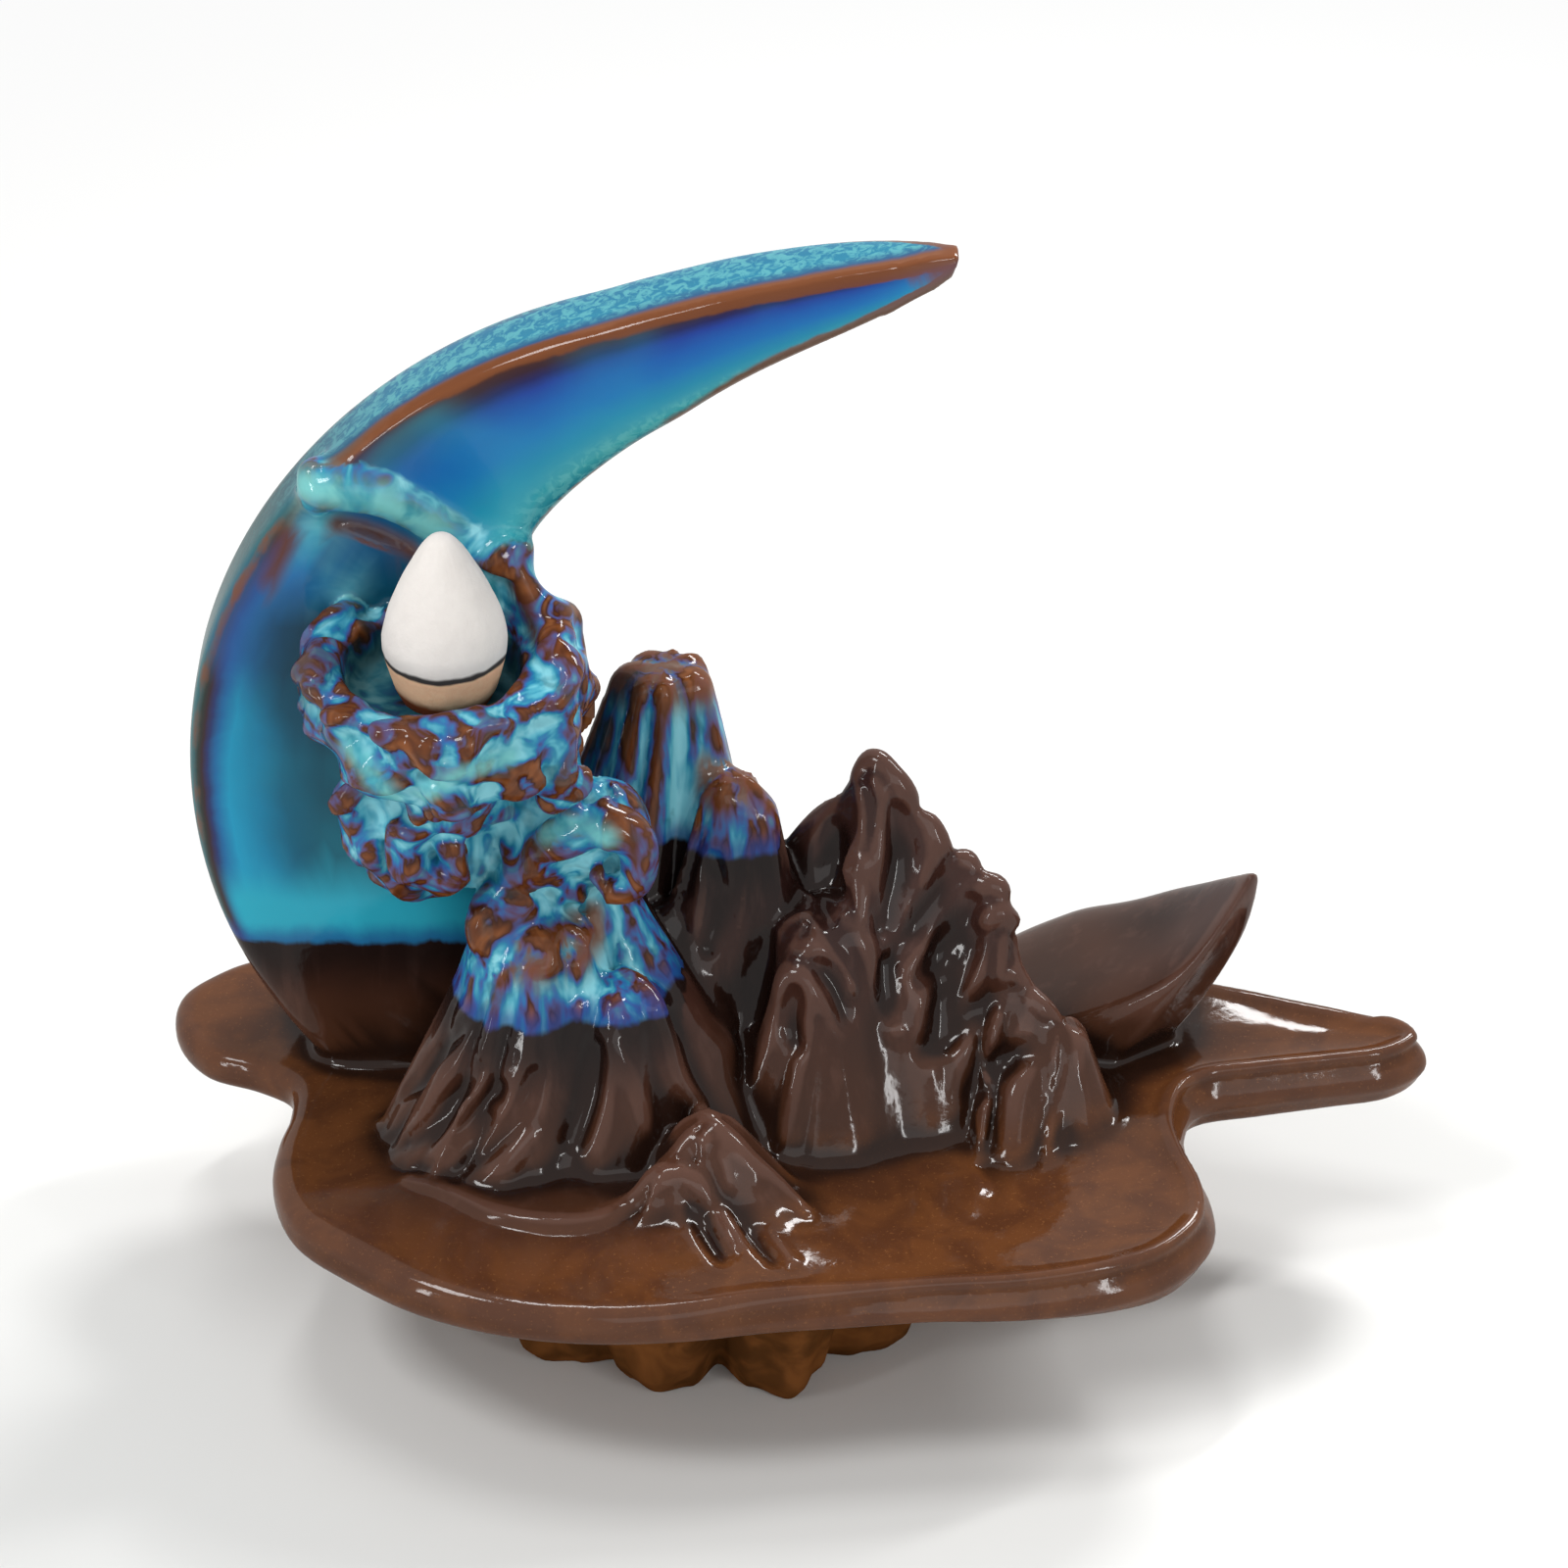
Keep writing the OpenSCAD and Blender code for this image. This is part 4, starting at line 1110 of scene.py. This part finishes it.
# %% The cone's tree
def cone_tree():
    """A tree that turns a flat sheet into the cone, and its inputs' identifiers."""
    tree = bpy.data.node_groups.new("turned_cone", "GeometryNodeTree")
    sizes = {}
    for name, kind in (("Width", "Float"), ("Height", "Float"), ("Grain", "Float"),
                       ("Seed", "Int"), ("Finish", "Material")):
        socket = tree.interface.new_socket(name, in_out="INPUT",
                                           socket_type="NodeSocket" + kind)
        sizes[name] = socket.identifier
    tree.interface.new_socket("Geometry", in_out="OUTPUT", socket_type="NodeSocketGeometry")
    given = tree.nodes.new("NodeGroupInput").outputs
    add = functools.partial(add_node, tree)

    # the sheet is 1 by 1: its x is a whole turn, and its y the way up
    sheet = add("GeometryNodeMeshGrid", None,
                {"Size X": 1, "Size Y": 1, "Vertices X": 97, "Vertices Y": 81})
    split = add("ShaderNodeSeparateXYZ", None, {0: add("GeometryNodeInputPosition")}).node
    turn = add(MATH, TIMES, {0: add(MATH, ADD, {0: split.outputs[0], 1: 0.5}),
                             1: 2 * math.pi})
    up = add(MATH, ADD, {0: split.outputs[1], 1: 0.5})
    profile, rise = (add("ShaderNodeFloatCurve", None, {"Value": up}) for _ in range(2))
    set_points(profile.node, CONE_PROFILE)
    set_points(rise.node, CONE_RISE)
    cos, sin = add(MATH, COS, {0: turn}), add(MATH, SIN, {0: turn})

    # the grain fades out at the tip and at the middle of the underside
    around = add("ShaderNodeCombineXYZ", None, {0: cos, 1: sin, 2: rise})
    grain = add(NOISE, {"noise_dimensions": "4D"},
                {"Vector": around, "W": given["Seed"], "Scale": 5.0, "Detail": 4.0})
    rough = add(MATH, TIMES, {0: add(MATH, TAKE, {0: grain, 1: 0.5}), 1: given["Grain"]})
    fade = add(MATH, LEAST, {0: add(MATH, TIMES, {0: profile, 1: 3.0}), 1: 1.0})
    half = add(MATH, TIMES, {0: add(MATH, TIMES, {0: given["Width"], 1: 0.5}), 1: profile})
    wide = add(MATH, ADD, {0: half, 1: add(MATH, TIMES, {0: rough, 1: fade})})
    high = add(MATH, TIMES, {0: given["Height"], 1: rise})
    spot = add("ShaderNodeCombineXYZ", None, {0: add(MATH, TIMES, {0: wide, 1: cos}),
                                              1: add(MATH, TIMES, {0: wide, 1: sin}),
                                              2: high})
    metres = add("ShaderNodeVectorMath", {"operation": "SCALE"}, {0: spot, "Scale": MM})
    moved = add("GeometryNodeSetPosition", None, {"Geometry": sheet, "Position": metres})
    welded = add("GeometryNodeMergeByDistance", None,
                 {"Geometry": moved, "Distance": 0.02 * MM})
    real = add("GeometryNodeRealizeInstances", None, {"Geometry": welded})
    coated = add("GeometryNodeSetMaterial", None,
                 {"Geometry": real, "Material": given["Finish"]})
    add("NodeGroupOutput", None, {0: coated})
    return tree, sizes


cone_nodes, cone_inputs = cone_tree()
print("cone tree:", len(cone_nodes.nodes), "nodes, inputs", list(cone_inputs))

# %% [markdown]
# ## Coats of colour
# A potter builds colour in coats, and so does this material. A coat is a
# colour, the map that says where it goes, the values between which it fades
# in, and how much of it there is. Other coats follow bands, as glaze changes
# colour with its depth: thin on an edge, thick in a groove. Painting an
# image by hand would do it too, but maps and noise have no pixels to show.

# %% Coats and bands
def new_material(name):
    """A material, its tree and its shader."""
    material = bpy.data.materials.new(name)
    material.use_nodes = True
    tree = material.node_tree
    return material, tree, tree.nodes["Principled BSDF"]


def coat(tree, base, paint, where, start=None, stop=None, share=1.0):
    """Brush paint over a base, as a map goes from start to stop, by a share."""
    if stop is not None:
        where = add_node(tree, RANGE, SOFT,
                         {"Value": where, "From Min": start, "From Max": stop})
    amount = add_node(tree, MATH, TIMES, {0: where, 1: share})
    return add_node(tree, MIX, PAINT, {0: amount, 6: base, 7: paint}, 2)


def banded(tree, value, bands, low, high):
    """Bands of colour along a value from low to high: bands are (value, hex)."""
    along = add_node(tree, RANGE, None, {"Value": value, "From Min": low, "From Max": high})
    ramp = add_node(tree, "ShaderNodeValToRGB", None, {0: along})
    marks = ramp.node.color_ramp.elements
    for i, (spot, code) in enumerate(bands):
        where = (spot - low) / (high - low)
        mark = marks[i] if i < 2 else marks.new(where)
        mark.position = where
        mark.color = colour(code)
    return ramp


print("a coat adds 2 or 3 nodes")


# %% Patterns of the kiln
# name: (size in mm, detail, roughness, twist, drawn out downwards); the finest
# is speckle of about half a millimetre, a little coarser than the real one
PATTERNS = {"wide": (22, 2, 0.5, 0.0, False), "mid": (7, 3, 0.55, 0.6, False),
            "swirl": (4.6, 2, 0.45, 1.6, False), "peel": (3.5, 2, 0.5, 0.0, False),
            "small": (1.6, 4, 0.6, 0.3, False), "mottle": (1.3, 3, 0.6, 0.8, False),
            "speck": (0.45, 2, 0.7, 0.0, False), "drips": (2.6, 3, 0.55, 0.2, True),
            "thin_runs": (2.1, 2, 0.5, 0.3, True)}


def patterns(tree):
    """The glaze's patterns and the skin's maps as outputs, by name."""
    place = add_node(tree, "ShaderNodeTexCoord", out="Object")
    drawn = add_node(tree, "ShaderNodeVectorMath", TIMES, {0: place, 1: (1, 1, 0.16)})
    found = {"height": add_node(tree, "ShaderNodeSeparateXYZ", None, {0: place}, 2)}
    for name, (size, detail, rough, twist, runs) in PATTERNS.items():
        found[name] = add_node(tree, NOISE, None,
                               {"Vector": drawn if runs else place, "Scale": 1000 / size,
                                "Detail": detail, "Roughness": rough, "Distortion": twist})
    for name in skin_maps:
        found[name] = add_node(tree, "ShaderNodeAttribute", {"attribute_name": name},
                               out="Fac")
    return SimpleNamespace(**found)


print("patterns:", list(PATTERNS))

# %% [markdown]
# ## The brown glaze
# The lower glaze is rich in iron. It fires purple brown on the mountains,
# redder and speckled on the plate, where it lies flat, and near black in the
# valleys, where it is thick. On a sharp rib it runs thin and turns lighter,
# and its purple grey there is partly a painted sheen.

# %% Brown glaze
def brown_glaze(tree, g):
    """The lower glaze's colour."""
    lay = functools.partial(coat, tree)
    brown = lay("#2C1A17", "#3E2620", g.wide, 0.38, 0.62)
    brown = lay(brown, "#4A322C", g.drips, 0.5, 0.75)
    brown = lay(brown, "#583622", g.height, 0.052, 0.030, 0.5)
    plate_brown = lay("#4E2D1A", "#5F381E", g.mid, 0.35, 0.65)
    plate_brown = lay(plate_brown, "#7A4E2C", g.speck, 0.6, 0.72, 0.6)
    brown = lay(brown, plate_brown, g.plate)
    brown = lay(brown, "#1A0F0C", g.round, 0.05, -0.45, 0.85)
    # lighter on sharp ribs: thin glaze, and partly a painted purple-grey sheen
    rib = add_node(tree, MATH, TIMES_ADD, {0: g.plate, 1: -0.3, 2: 0.5})
    return lay(brown, "#65473C", g.sharp, 0.35, 0.9, rib)


print("brown glaze: 6 coats, and 2 more of its own on the plate")


# %% [markdown]
# ## The moon's bands
# On the moon the blue glaze ran sideways while it was soft, so its colours
# lie in bands from the inner edge to the outer one: brown on both edges,
# where it ran off, then aqua, clear blue and a dark purple line by the
# ridge. The arm and the wide body have their own bands. Noise bends the
# bands a little, and fine mottle breaks them on the edges' own walls.

# %% Moon glaze
LANE = (-1.2, 2)
ARM = [(-1.2, "#4A3428"), (-1.03, "#7A4A2C"), (-0.93, "#1E7484"), (-0.7, "#3E9FA6"),
       (-0.35, "#1E86A6"), (-0.02, "#146CAE"), (0.28, "#1257A8"), (0.5, "#183C94"),
       (0.64, "#1C1E58"), (0.76, "#331C2A"), (0.86, "#3E2018"), (0.93, "#8A5636"),
       (1.06, "#7A4A30"), (1.14, "#22507A"), (1.3, "#1A7896"), (1.75, "#176C90"),
       (1.98, "#5F4634")]
BODY = [(-1.2, "#0E3644"), (-0.2, "#0F4252"), (0.08, "#104C60"), (0.3, "#13627E"),
        (0.5, "#1A82A8"), (0.7, "#2296BC"), (0.8, "#22689C"), (0.86, "#2A3666"),
        (0.92, "#38262A"), (0.98, "#2A3430"), (1.05, "#17585E"), (1.2, "#145E64"),
        (1.4, "#0E5056"), (1.95, "#0C3F42")]


def moon_glaze(tree, g):
    """The blue glaze's colour on the moon."""
    add, lay = functools.partial(add_node, tree), functools.partial(coat, tree)
    bent = add(MATH, TAKE, {0: g.lane, 1: 0.13})
    for pattern, amount in ((g.wide, 0.16), (g.mid, 0.1)):
        bent = add(MATH, TIMES_ADD, {0: pattern, 1: amount, 2: bent})
    blue = lay(banded(tree, bent, BODY, *LANE), banded(tree, bent, ARM, *LANE), g.arm)

    # mottle: on the arm's inner edge and on the outer wall
    inner, outer = (add(RANGE, SOFT, {"Value": g.lane, "From Min": a, "From Max": b})
                    for a, b in ((-0.45, -0.7), (1.12, 1.3)))
    walls = add(MATH, {"operation": "MULTIPLY_ADD", "use_clamp": True},
                {0: inner, 1: g.arm, 2: outer})
    much = add(MATH, TIMES_ADD, {0: g.arm, 1: 0.5, 2: 0.05})
    blue = lay(blue, "#66B8B8", g.mottle, 0.42, 0.6, add(MATH, TIMES, {0: walls, 1: much}))

    # brighter above the dip line, and a blue haze under the arm
    low = add(MATH, TIMES_ADD, {0: g.wide, 1: 0.9, 2: add(MATH, TAKE, {0: g.dip, 1: 0.45})})
    face = add(RANGE, SOFT, {"Value": g.lane, "From Min": 0.96, "From Max": 0.78})
    blue = lay(blue, "#2CA6BE", low, 1.05, 0.4, face)
    return lay(blue, "#2A64AC", g.haze, share=0.75)


print("bands on the arm:", len(ARM), "and on the body:", len(BODY))


# %% [markdown]
# ## The blue glaze
# On peaks and clouds the same glaze pools pale in the grooves, goes blue and
# purple on the slopes, and breaks brown over an edge. Its depth is made from
# how sharp the skin is and from noise: marbled on the clouds, and in thin
# falling runs on the peaks. A few lines, drawn on the skin earlier, carry
# the pale rolls, the brown streaks and two places of painted shade, and
# the inside of the bowl gets painted shade too.

# %% Blue glaze
DEPTH = [(-0.8, "#86CEDA"), (-0.45, "#56ACC0"), (-0.22, "#2C86A8"), (-0.04, "#3068A4"),
         (0.1, "#465088"), (0.22, "#4A3650"), (0.31, "#3C1E12"), (0.53, "#66381C"),
         (0.85, "#8A522C")]


def blue_glaze(tree, g):
    """The upper glaze's colour."""
    add, lay = functools.partial(add_node, tree), functools.partial(coat, tree)
    thin = []
    for pattern, amount, less in ((g.thin_runs, 2.8, 1.54), (g.swirl, 2.5, 1.48)):
        edge = add(MATH, TIMES_ADD, {0: g.sharp, 1: 0.5, 2: -less})
        thin.append(add(MATH, TIMES_ADD, {0: pattern, 1: amount, 2: edge}))
    marbled = add(RANGE, SOFT, {"Value": g.cloud, "From Min": 0.2, "From Max": 0.6})
    depth = add(MIX, {"data_type": "FLOAT"}, {0: marbled, 2: thin[0], 3: thin[1]})
    blue = banded(tree, depth, DEPTH, -1, 1)
    blue = lay(blue, "#0E4A52", g.mid, 0.56, 0.7, 0.5)
    # painted shade inside the bowl
    blue = lay(blue, "#1A2A2C", g.cup, share=0.75)
    blue = lay(blue, "#74421E", g.thin_runs, 0.62, 0.42,
               add(MATH, TIMES, {0: g.crown, 1: 0.9}))
    blue = lay(blue, moon_glaze(tree, g), g.moon)
    blue = lay(blue, "#0A2632", g.shade, share=0.8)

    # it breaks brown on the sharpest edges, most of all on the moon
    broken = add(MATH, TIMES_ADD, {0: g.mid, 1: 0.6, 2: add(MATH, TAKE, {0: g.sharp, 1: 0.3})})
    most = add(MATH, MOST, {0: add(MATH, TIMES, {0: g.moon, 1: 0.85}), 1: 0.3})
    blue = lay(blue, "#74401F", broken, 0.6, 0.85, most)
    milky = lay("#3E9CAA", "#78C8C6", g.mid, 0.38, 0.6)
    blue = lay(blue, milky, g.pale)
    return lay(blue, "#5E3420", g.streak, share=0.95)


print("bands by the blue glaze's depth:", len(DEPTH))


# %% [markdown]
# ## Glazed stoneware
# The burner is dipped upside down in the blue glaze after the brown one, so
# a wavy line shows how deep each part went in. Under the line the brown is
# near black, and above it the blue is deepest. Fired glaze is glass: it
# mirrors lamps sharply over a softer body, and it keeps the faint waves of
# orange peel. So the gloss comes from a clear coat, and the layer under it
# mirrors nothing, which keeps the browns as dark as they are. The foot is
# left bare to stand in the kiln, and is rough and rusty.

# %% Glazed stoneware
CLEAR = {"Coat Roughness": 0.08, "Coat IOR": 1.5, "Specular IOR Level": 0.0}


def glaze():
    """Two glazes on stoneware: the eye gets deep colour under wet, sharp gloss."""
    material, tree, shader = new_material("glazed_stoneware")
    add, lay = functools.partial(add_node, tree), functools.partial(coat, tree)
    g = patterns(tree)
    line = add(MATH, TAKE, {0: g.dip, 1: 0.15})
    for pattern, amount in ((g.mid, 0.2), (g.drips, 0.1)):
        line = add(MATH, TIMES_ADD, {0: pattern, 1: amount, 2: line})
    lower = lay(brown_glaze(tree, g), "#17100F", line, -0.75, -0.08, 0.85)
    upper = lay(blue_glaze(tree, g), "#1C3F88", line, 0.3, 0.04, 0.7)
    body = lay(lower, upper, line, -0.03, 0.05)
    bare = lay("#4E3018", "#724624", g.mid, 0.35, 0.7)
    peel = add(MATH, TIMES_ADD, {0: g.small, 1: 0.3, 2: add(MATH, TIMES, {0: g.peel, 1: 0.7})})
    waves = add("ShaderNodeBump", None, {"Height": peel, "Strength": 0.3, "Distance": 0.2 * MM})
    for name, value in (("Base Color", lay(body, bare, g.foot)),
                        ("Roughness", add(MATH, TIMES_ADD, {0: g.foot, 1: 0.45, 2: 0.3})),
                        ("Coat Weight", add(MATH, TIMES_ADD, {0: g.foot, 1: -0.42, 2: 0.42})),
                        ("Normal", waves), ("Coat Normal", waves)):
        tree.links.new(value, shader.inputs[name])
    for name, value in CLEAR.items():
        shader.inputs[name].default_value = value
    return material


print("the clear coat:", CLEAR)

# %% Glaze the casting
casting.data.materials.clear()
casting.data.materials.append(glaze())
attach(casting, "root")
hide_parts("burner")
print("glaze:", len(casting.data.materials[0].node_tree.nodes), "nodes")

# %% [markdown]
# ## Pressed incense
# The cone is wood powder and gum, matt and a little grainy. Its body is the
# fresh tan powder, and at its foot a painted reflection of the brown bowl
# turns it red brown. A thin charred line shows how far the fire has come,
# and above it stands pale ash that has kept the cone's shape. All of it
# follows the height, so the same coats are used, with a slow wave that
# keeps the line from being level.

# %% Pressed incense
# metres above the foot between which one band gives way to the next: the painted reflection to
# the tan powder, tan to char, char to ash
REFLECTION_TO_TAN, CHARRED, BURNT = (0.0012, 0.0026), (0.0056, 0.0060), (0.0064, 0.0069)


def incense():
    """Pressed powder, charred and burnt to ash: the eye gets a dry, chalky skin."""
    material, tree, shader = new_material("pressed_incense")
    add, lay = functools.partial(add_node, tree), functools.partial(coat, tree)
    place = add("ShaderNodeTexCoord", out="Object")
    grain, cloudy, wave = (add(NOISE, None, {"Vector": place, "Scale": 1000 / size,
                                             "Detail": detail, "Roughness": rough})
                           for size, detail, rough in ((0.7, 4, 0.7), (4, 4, 0.6),
                                                       (9, 3, 0.5)))
    height = add("ShaderNodeSeparateXYZ", None, {0: place}, 2)
    # metres above the cone's foot, give or take 1.4 mm
    level = add(MATH, TAKE, {0: height, 1: float(CONE_AT[2]) * MM + 0.0014})
    level = add(MATH, TIMES_ADD, {0: wave, 1: 0.0028, 2: level})
    tan = lay("#F6BC94", "#FFDAB6", grain)
    # painted reflection: the brown bowl's red brown on the cone's foot, fading into the tan
    body = lay("#8A3E1C", tan, level, *REFLECTION_TO_TAN)
    body = lay(body, "#3A3838", level, *CHARRED)
    ash = lay("#DAD4CF", "#EEE9E4", cloudy)
    body = lay(body, ash, level, *BURNT)
    dust = add("ShaderNodeBump", None, {"Height": grain, "Strength": 0.5,
                                        "Distance": 0.2 * MM})
    tree.links.new(body, shader.inputs["Base Color"])
    tree.links.new(dust, shader.inputs["Normal"])
    shader.inputs["Roughness"].default_value = 0.9
    shader.inputs["Specular IOR Level"].default_value = 0.2
    return material


print("the charred line is", round((BURNT[0] - CHARRED[0]) / MM, 1), "mm high")

# %% Turn the cone
cone = bpy.data.objects.new("cone", bpy.data.meshes.new("cone"))
bpy.context.scene.collection.objects.link(cone)
turned = cone.modifiers.new("turned", "NODES")
turned.node_group = cone_nodes
for name, value in CONE_SIZES.items():
    turned[cone_inputs[name]] = value
turned[cone_inputs["Finish"]] = incense()
settled(cone)
place_mm = corners(cone.data) + CONE_AT
cone.data.vertices.foreach_set("co", (place_mm * MM).astype(np.float32).ravel())
cone.data.update()
inward = sum(p.area * p.normal.dot(p.center - cone.data.vertices[0].co)
             for p in cone.data.polygons) < 0
if inward:
    cone.data.flip_normals()
cone.data.polygons.foreach_set("use_smooth", [True] * len(cone.data.polygons))
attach(cone, "root")
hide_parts("incense_cone")
print("cone:", len(cone.data.polygons), "faces")

# %% [markdown]
# ## The studio
# A pale matt floor takes the shadow and fades to white far away, so that no
# horizon shows. Gloss needs something to mirror: a big soft lamp in front
# gives the plain light, a key lamp and a back lamp model the forms, and four
# narrow strips draw the bright lines on rims and ribs. The world is white
# for the camera, for mirrors and for glass, and dim for everything else, so
# a white background adds almost no light to the object.

# %% Floor
FLOOR_HALF = 3.0             # m
FADE = (0.12, 0.45)          # m from the burner: where the floor turns to white


def floor_finish():
    """Matt paper: the eye gets a soft shadow and nothing else."""
    material, tree, shader = new_material("pale_floor")
    add = functools.partial(add_node, tree)
    shader.inputs["Base Color"].default_value = colour("#E4E4E2")
    shader.inputs["Roughness"].default_value = 0.7
    place = add("ShaderNodeTexCoord", out="Object")
    away = add("ShaderNodeVectorMath", {"operation": "LENGTH"}, {0: place}, "Value")
    rays = add("ShaderNodeLightPath").node.outputs
    seen = add(MATH, MOST, {0: rays["Is Camera Ray"], 1: rays["Is Glossy Ray"]})
    far = add(RANGE, SOFT, {"Value": away, "From Min": FADE[0], "From Max": FADE[1]})
    white = add("ShaderNodeEmission", None, {"Strength": 0.96})
    blend = add("ShaderNodeMixShader", None,
                {0: add(MATH, TIMES, {0: far, 1: seen}), 1: shader.outputs[0], 2: white})
    tree.links.new(blend, tree.nodes["Material Output"].inputs["Surface"])
    return material


sheet = bpy.data.meshes.new("floor")
sheet.from_pydata([(-FLOOR_HALF, -FLOOR_HALF, 0), (FLOOR_HALF, -FLOOR_HALF, 0),
                   (FLOOR_HALF, FLOOR_HALF, 0), (-FLOOR_HALF, FLOOR_HALF, 0)],
                  [], [(0, 1, 2, 3)])
floor = bpy.data.objects.new("floor", sheet)
bpy.context.scene.collection.objects.link(floor)
sheet.materials.append(floor_finish())
print("floor:", 2 * FLOOR_HALF, "m wide")

# %% Lamps
# name: (place, height it looks at, size), all in metres, and watts
LAMPS = {"key": ((-0.5, -0.3, 0.85), 0.07, (0.22, 0.22), 3.6),
         "back": ((0.3, 0.66, 0.66), 0.05, (0.32, 0.12), 4.6),
         "front": ((0.35, -0.95, 0.6), 0.07, (0.9, 0.5), 1.9),
         "left_strip": ((-0.75, -0.62, 0.34), 0.05, (0.05, 0.4), 1.6),
         "right_strip": ((0.6, -0.7, 0.4), 0.05, (0.04, 0.3), 1.1),
         "side_strip": ((0.55, 0.3, 0.55), 0.06, (0.05, 0.3), 2.0),
         "top_strip": ((-0.12, 0.1, 0.9), 0.06, (0.3, 0.05), 1.6)}


def lamp(name, at, look, size, watts):
    """A flat soft lamp that looks at a height above the middle of the floor."""
    data = bpy.data.lights.new(name, "AREA")
    data.shape = "RECTANGLE"
    data.size, data.size_y = size
    data.energy = watts
    obj = bpy.data.objects.new(name, data)
    bpy.context.scene.collection.objects.link(obj)
    obj.location = at
    way = Vector((0, 0, look)) - Vector(at)
    obj.rotation_euler = way.to_track_quat("-Z", "Y").to_euler()


for name, (at_m, look, size, watts) in LAMPS.items():
    lamp(name, at_m, look, size, watts)
print("lamps:", list(LAMPS))

# %% World
DIM = 0.3                    # the world's strength for light that lands on things
world = bpy.data.worlds.new("studio")
bpy.context.scene.world = world
world.use_nodes = True
tree = world.node_tree
add = functools.partial(add_node, tree)
background = tree.nodes["Background"]
background.inputs["Color"].default_value = (1, 1, 1, 1)
rays = add("ShaderNodeLightPath").node.outputs
seen = add(MATH, MOST, {0: rays["Is Camera Ray"], 1: rays["Is Glossy Ray"]})
seen = add(MATH, MOST, {0: seen, 1: rays["Is Transmission Ray"]})
strength = add(MATH, TIMES_ADD, {0: seen, 1: 1 - DIM, 2: DIM})
tree.links.new(strength, background.inputs["Strength"])
bpy.context.scene.view_settings.view_transform = "Standard"
print("world: 1 where it is seen,", DIM, "elsewhere")
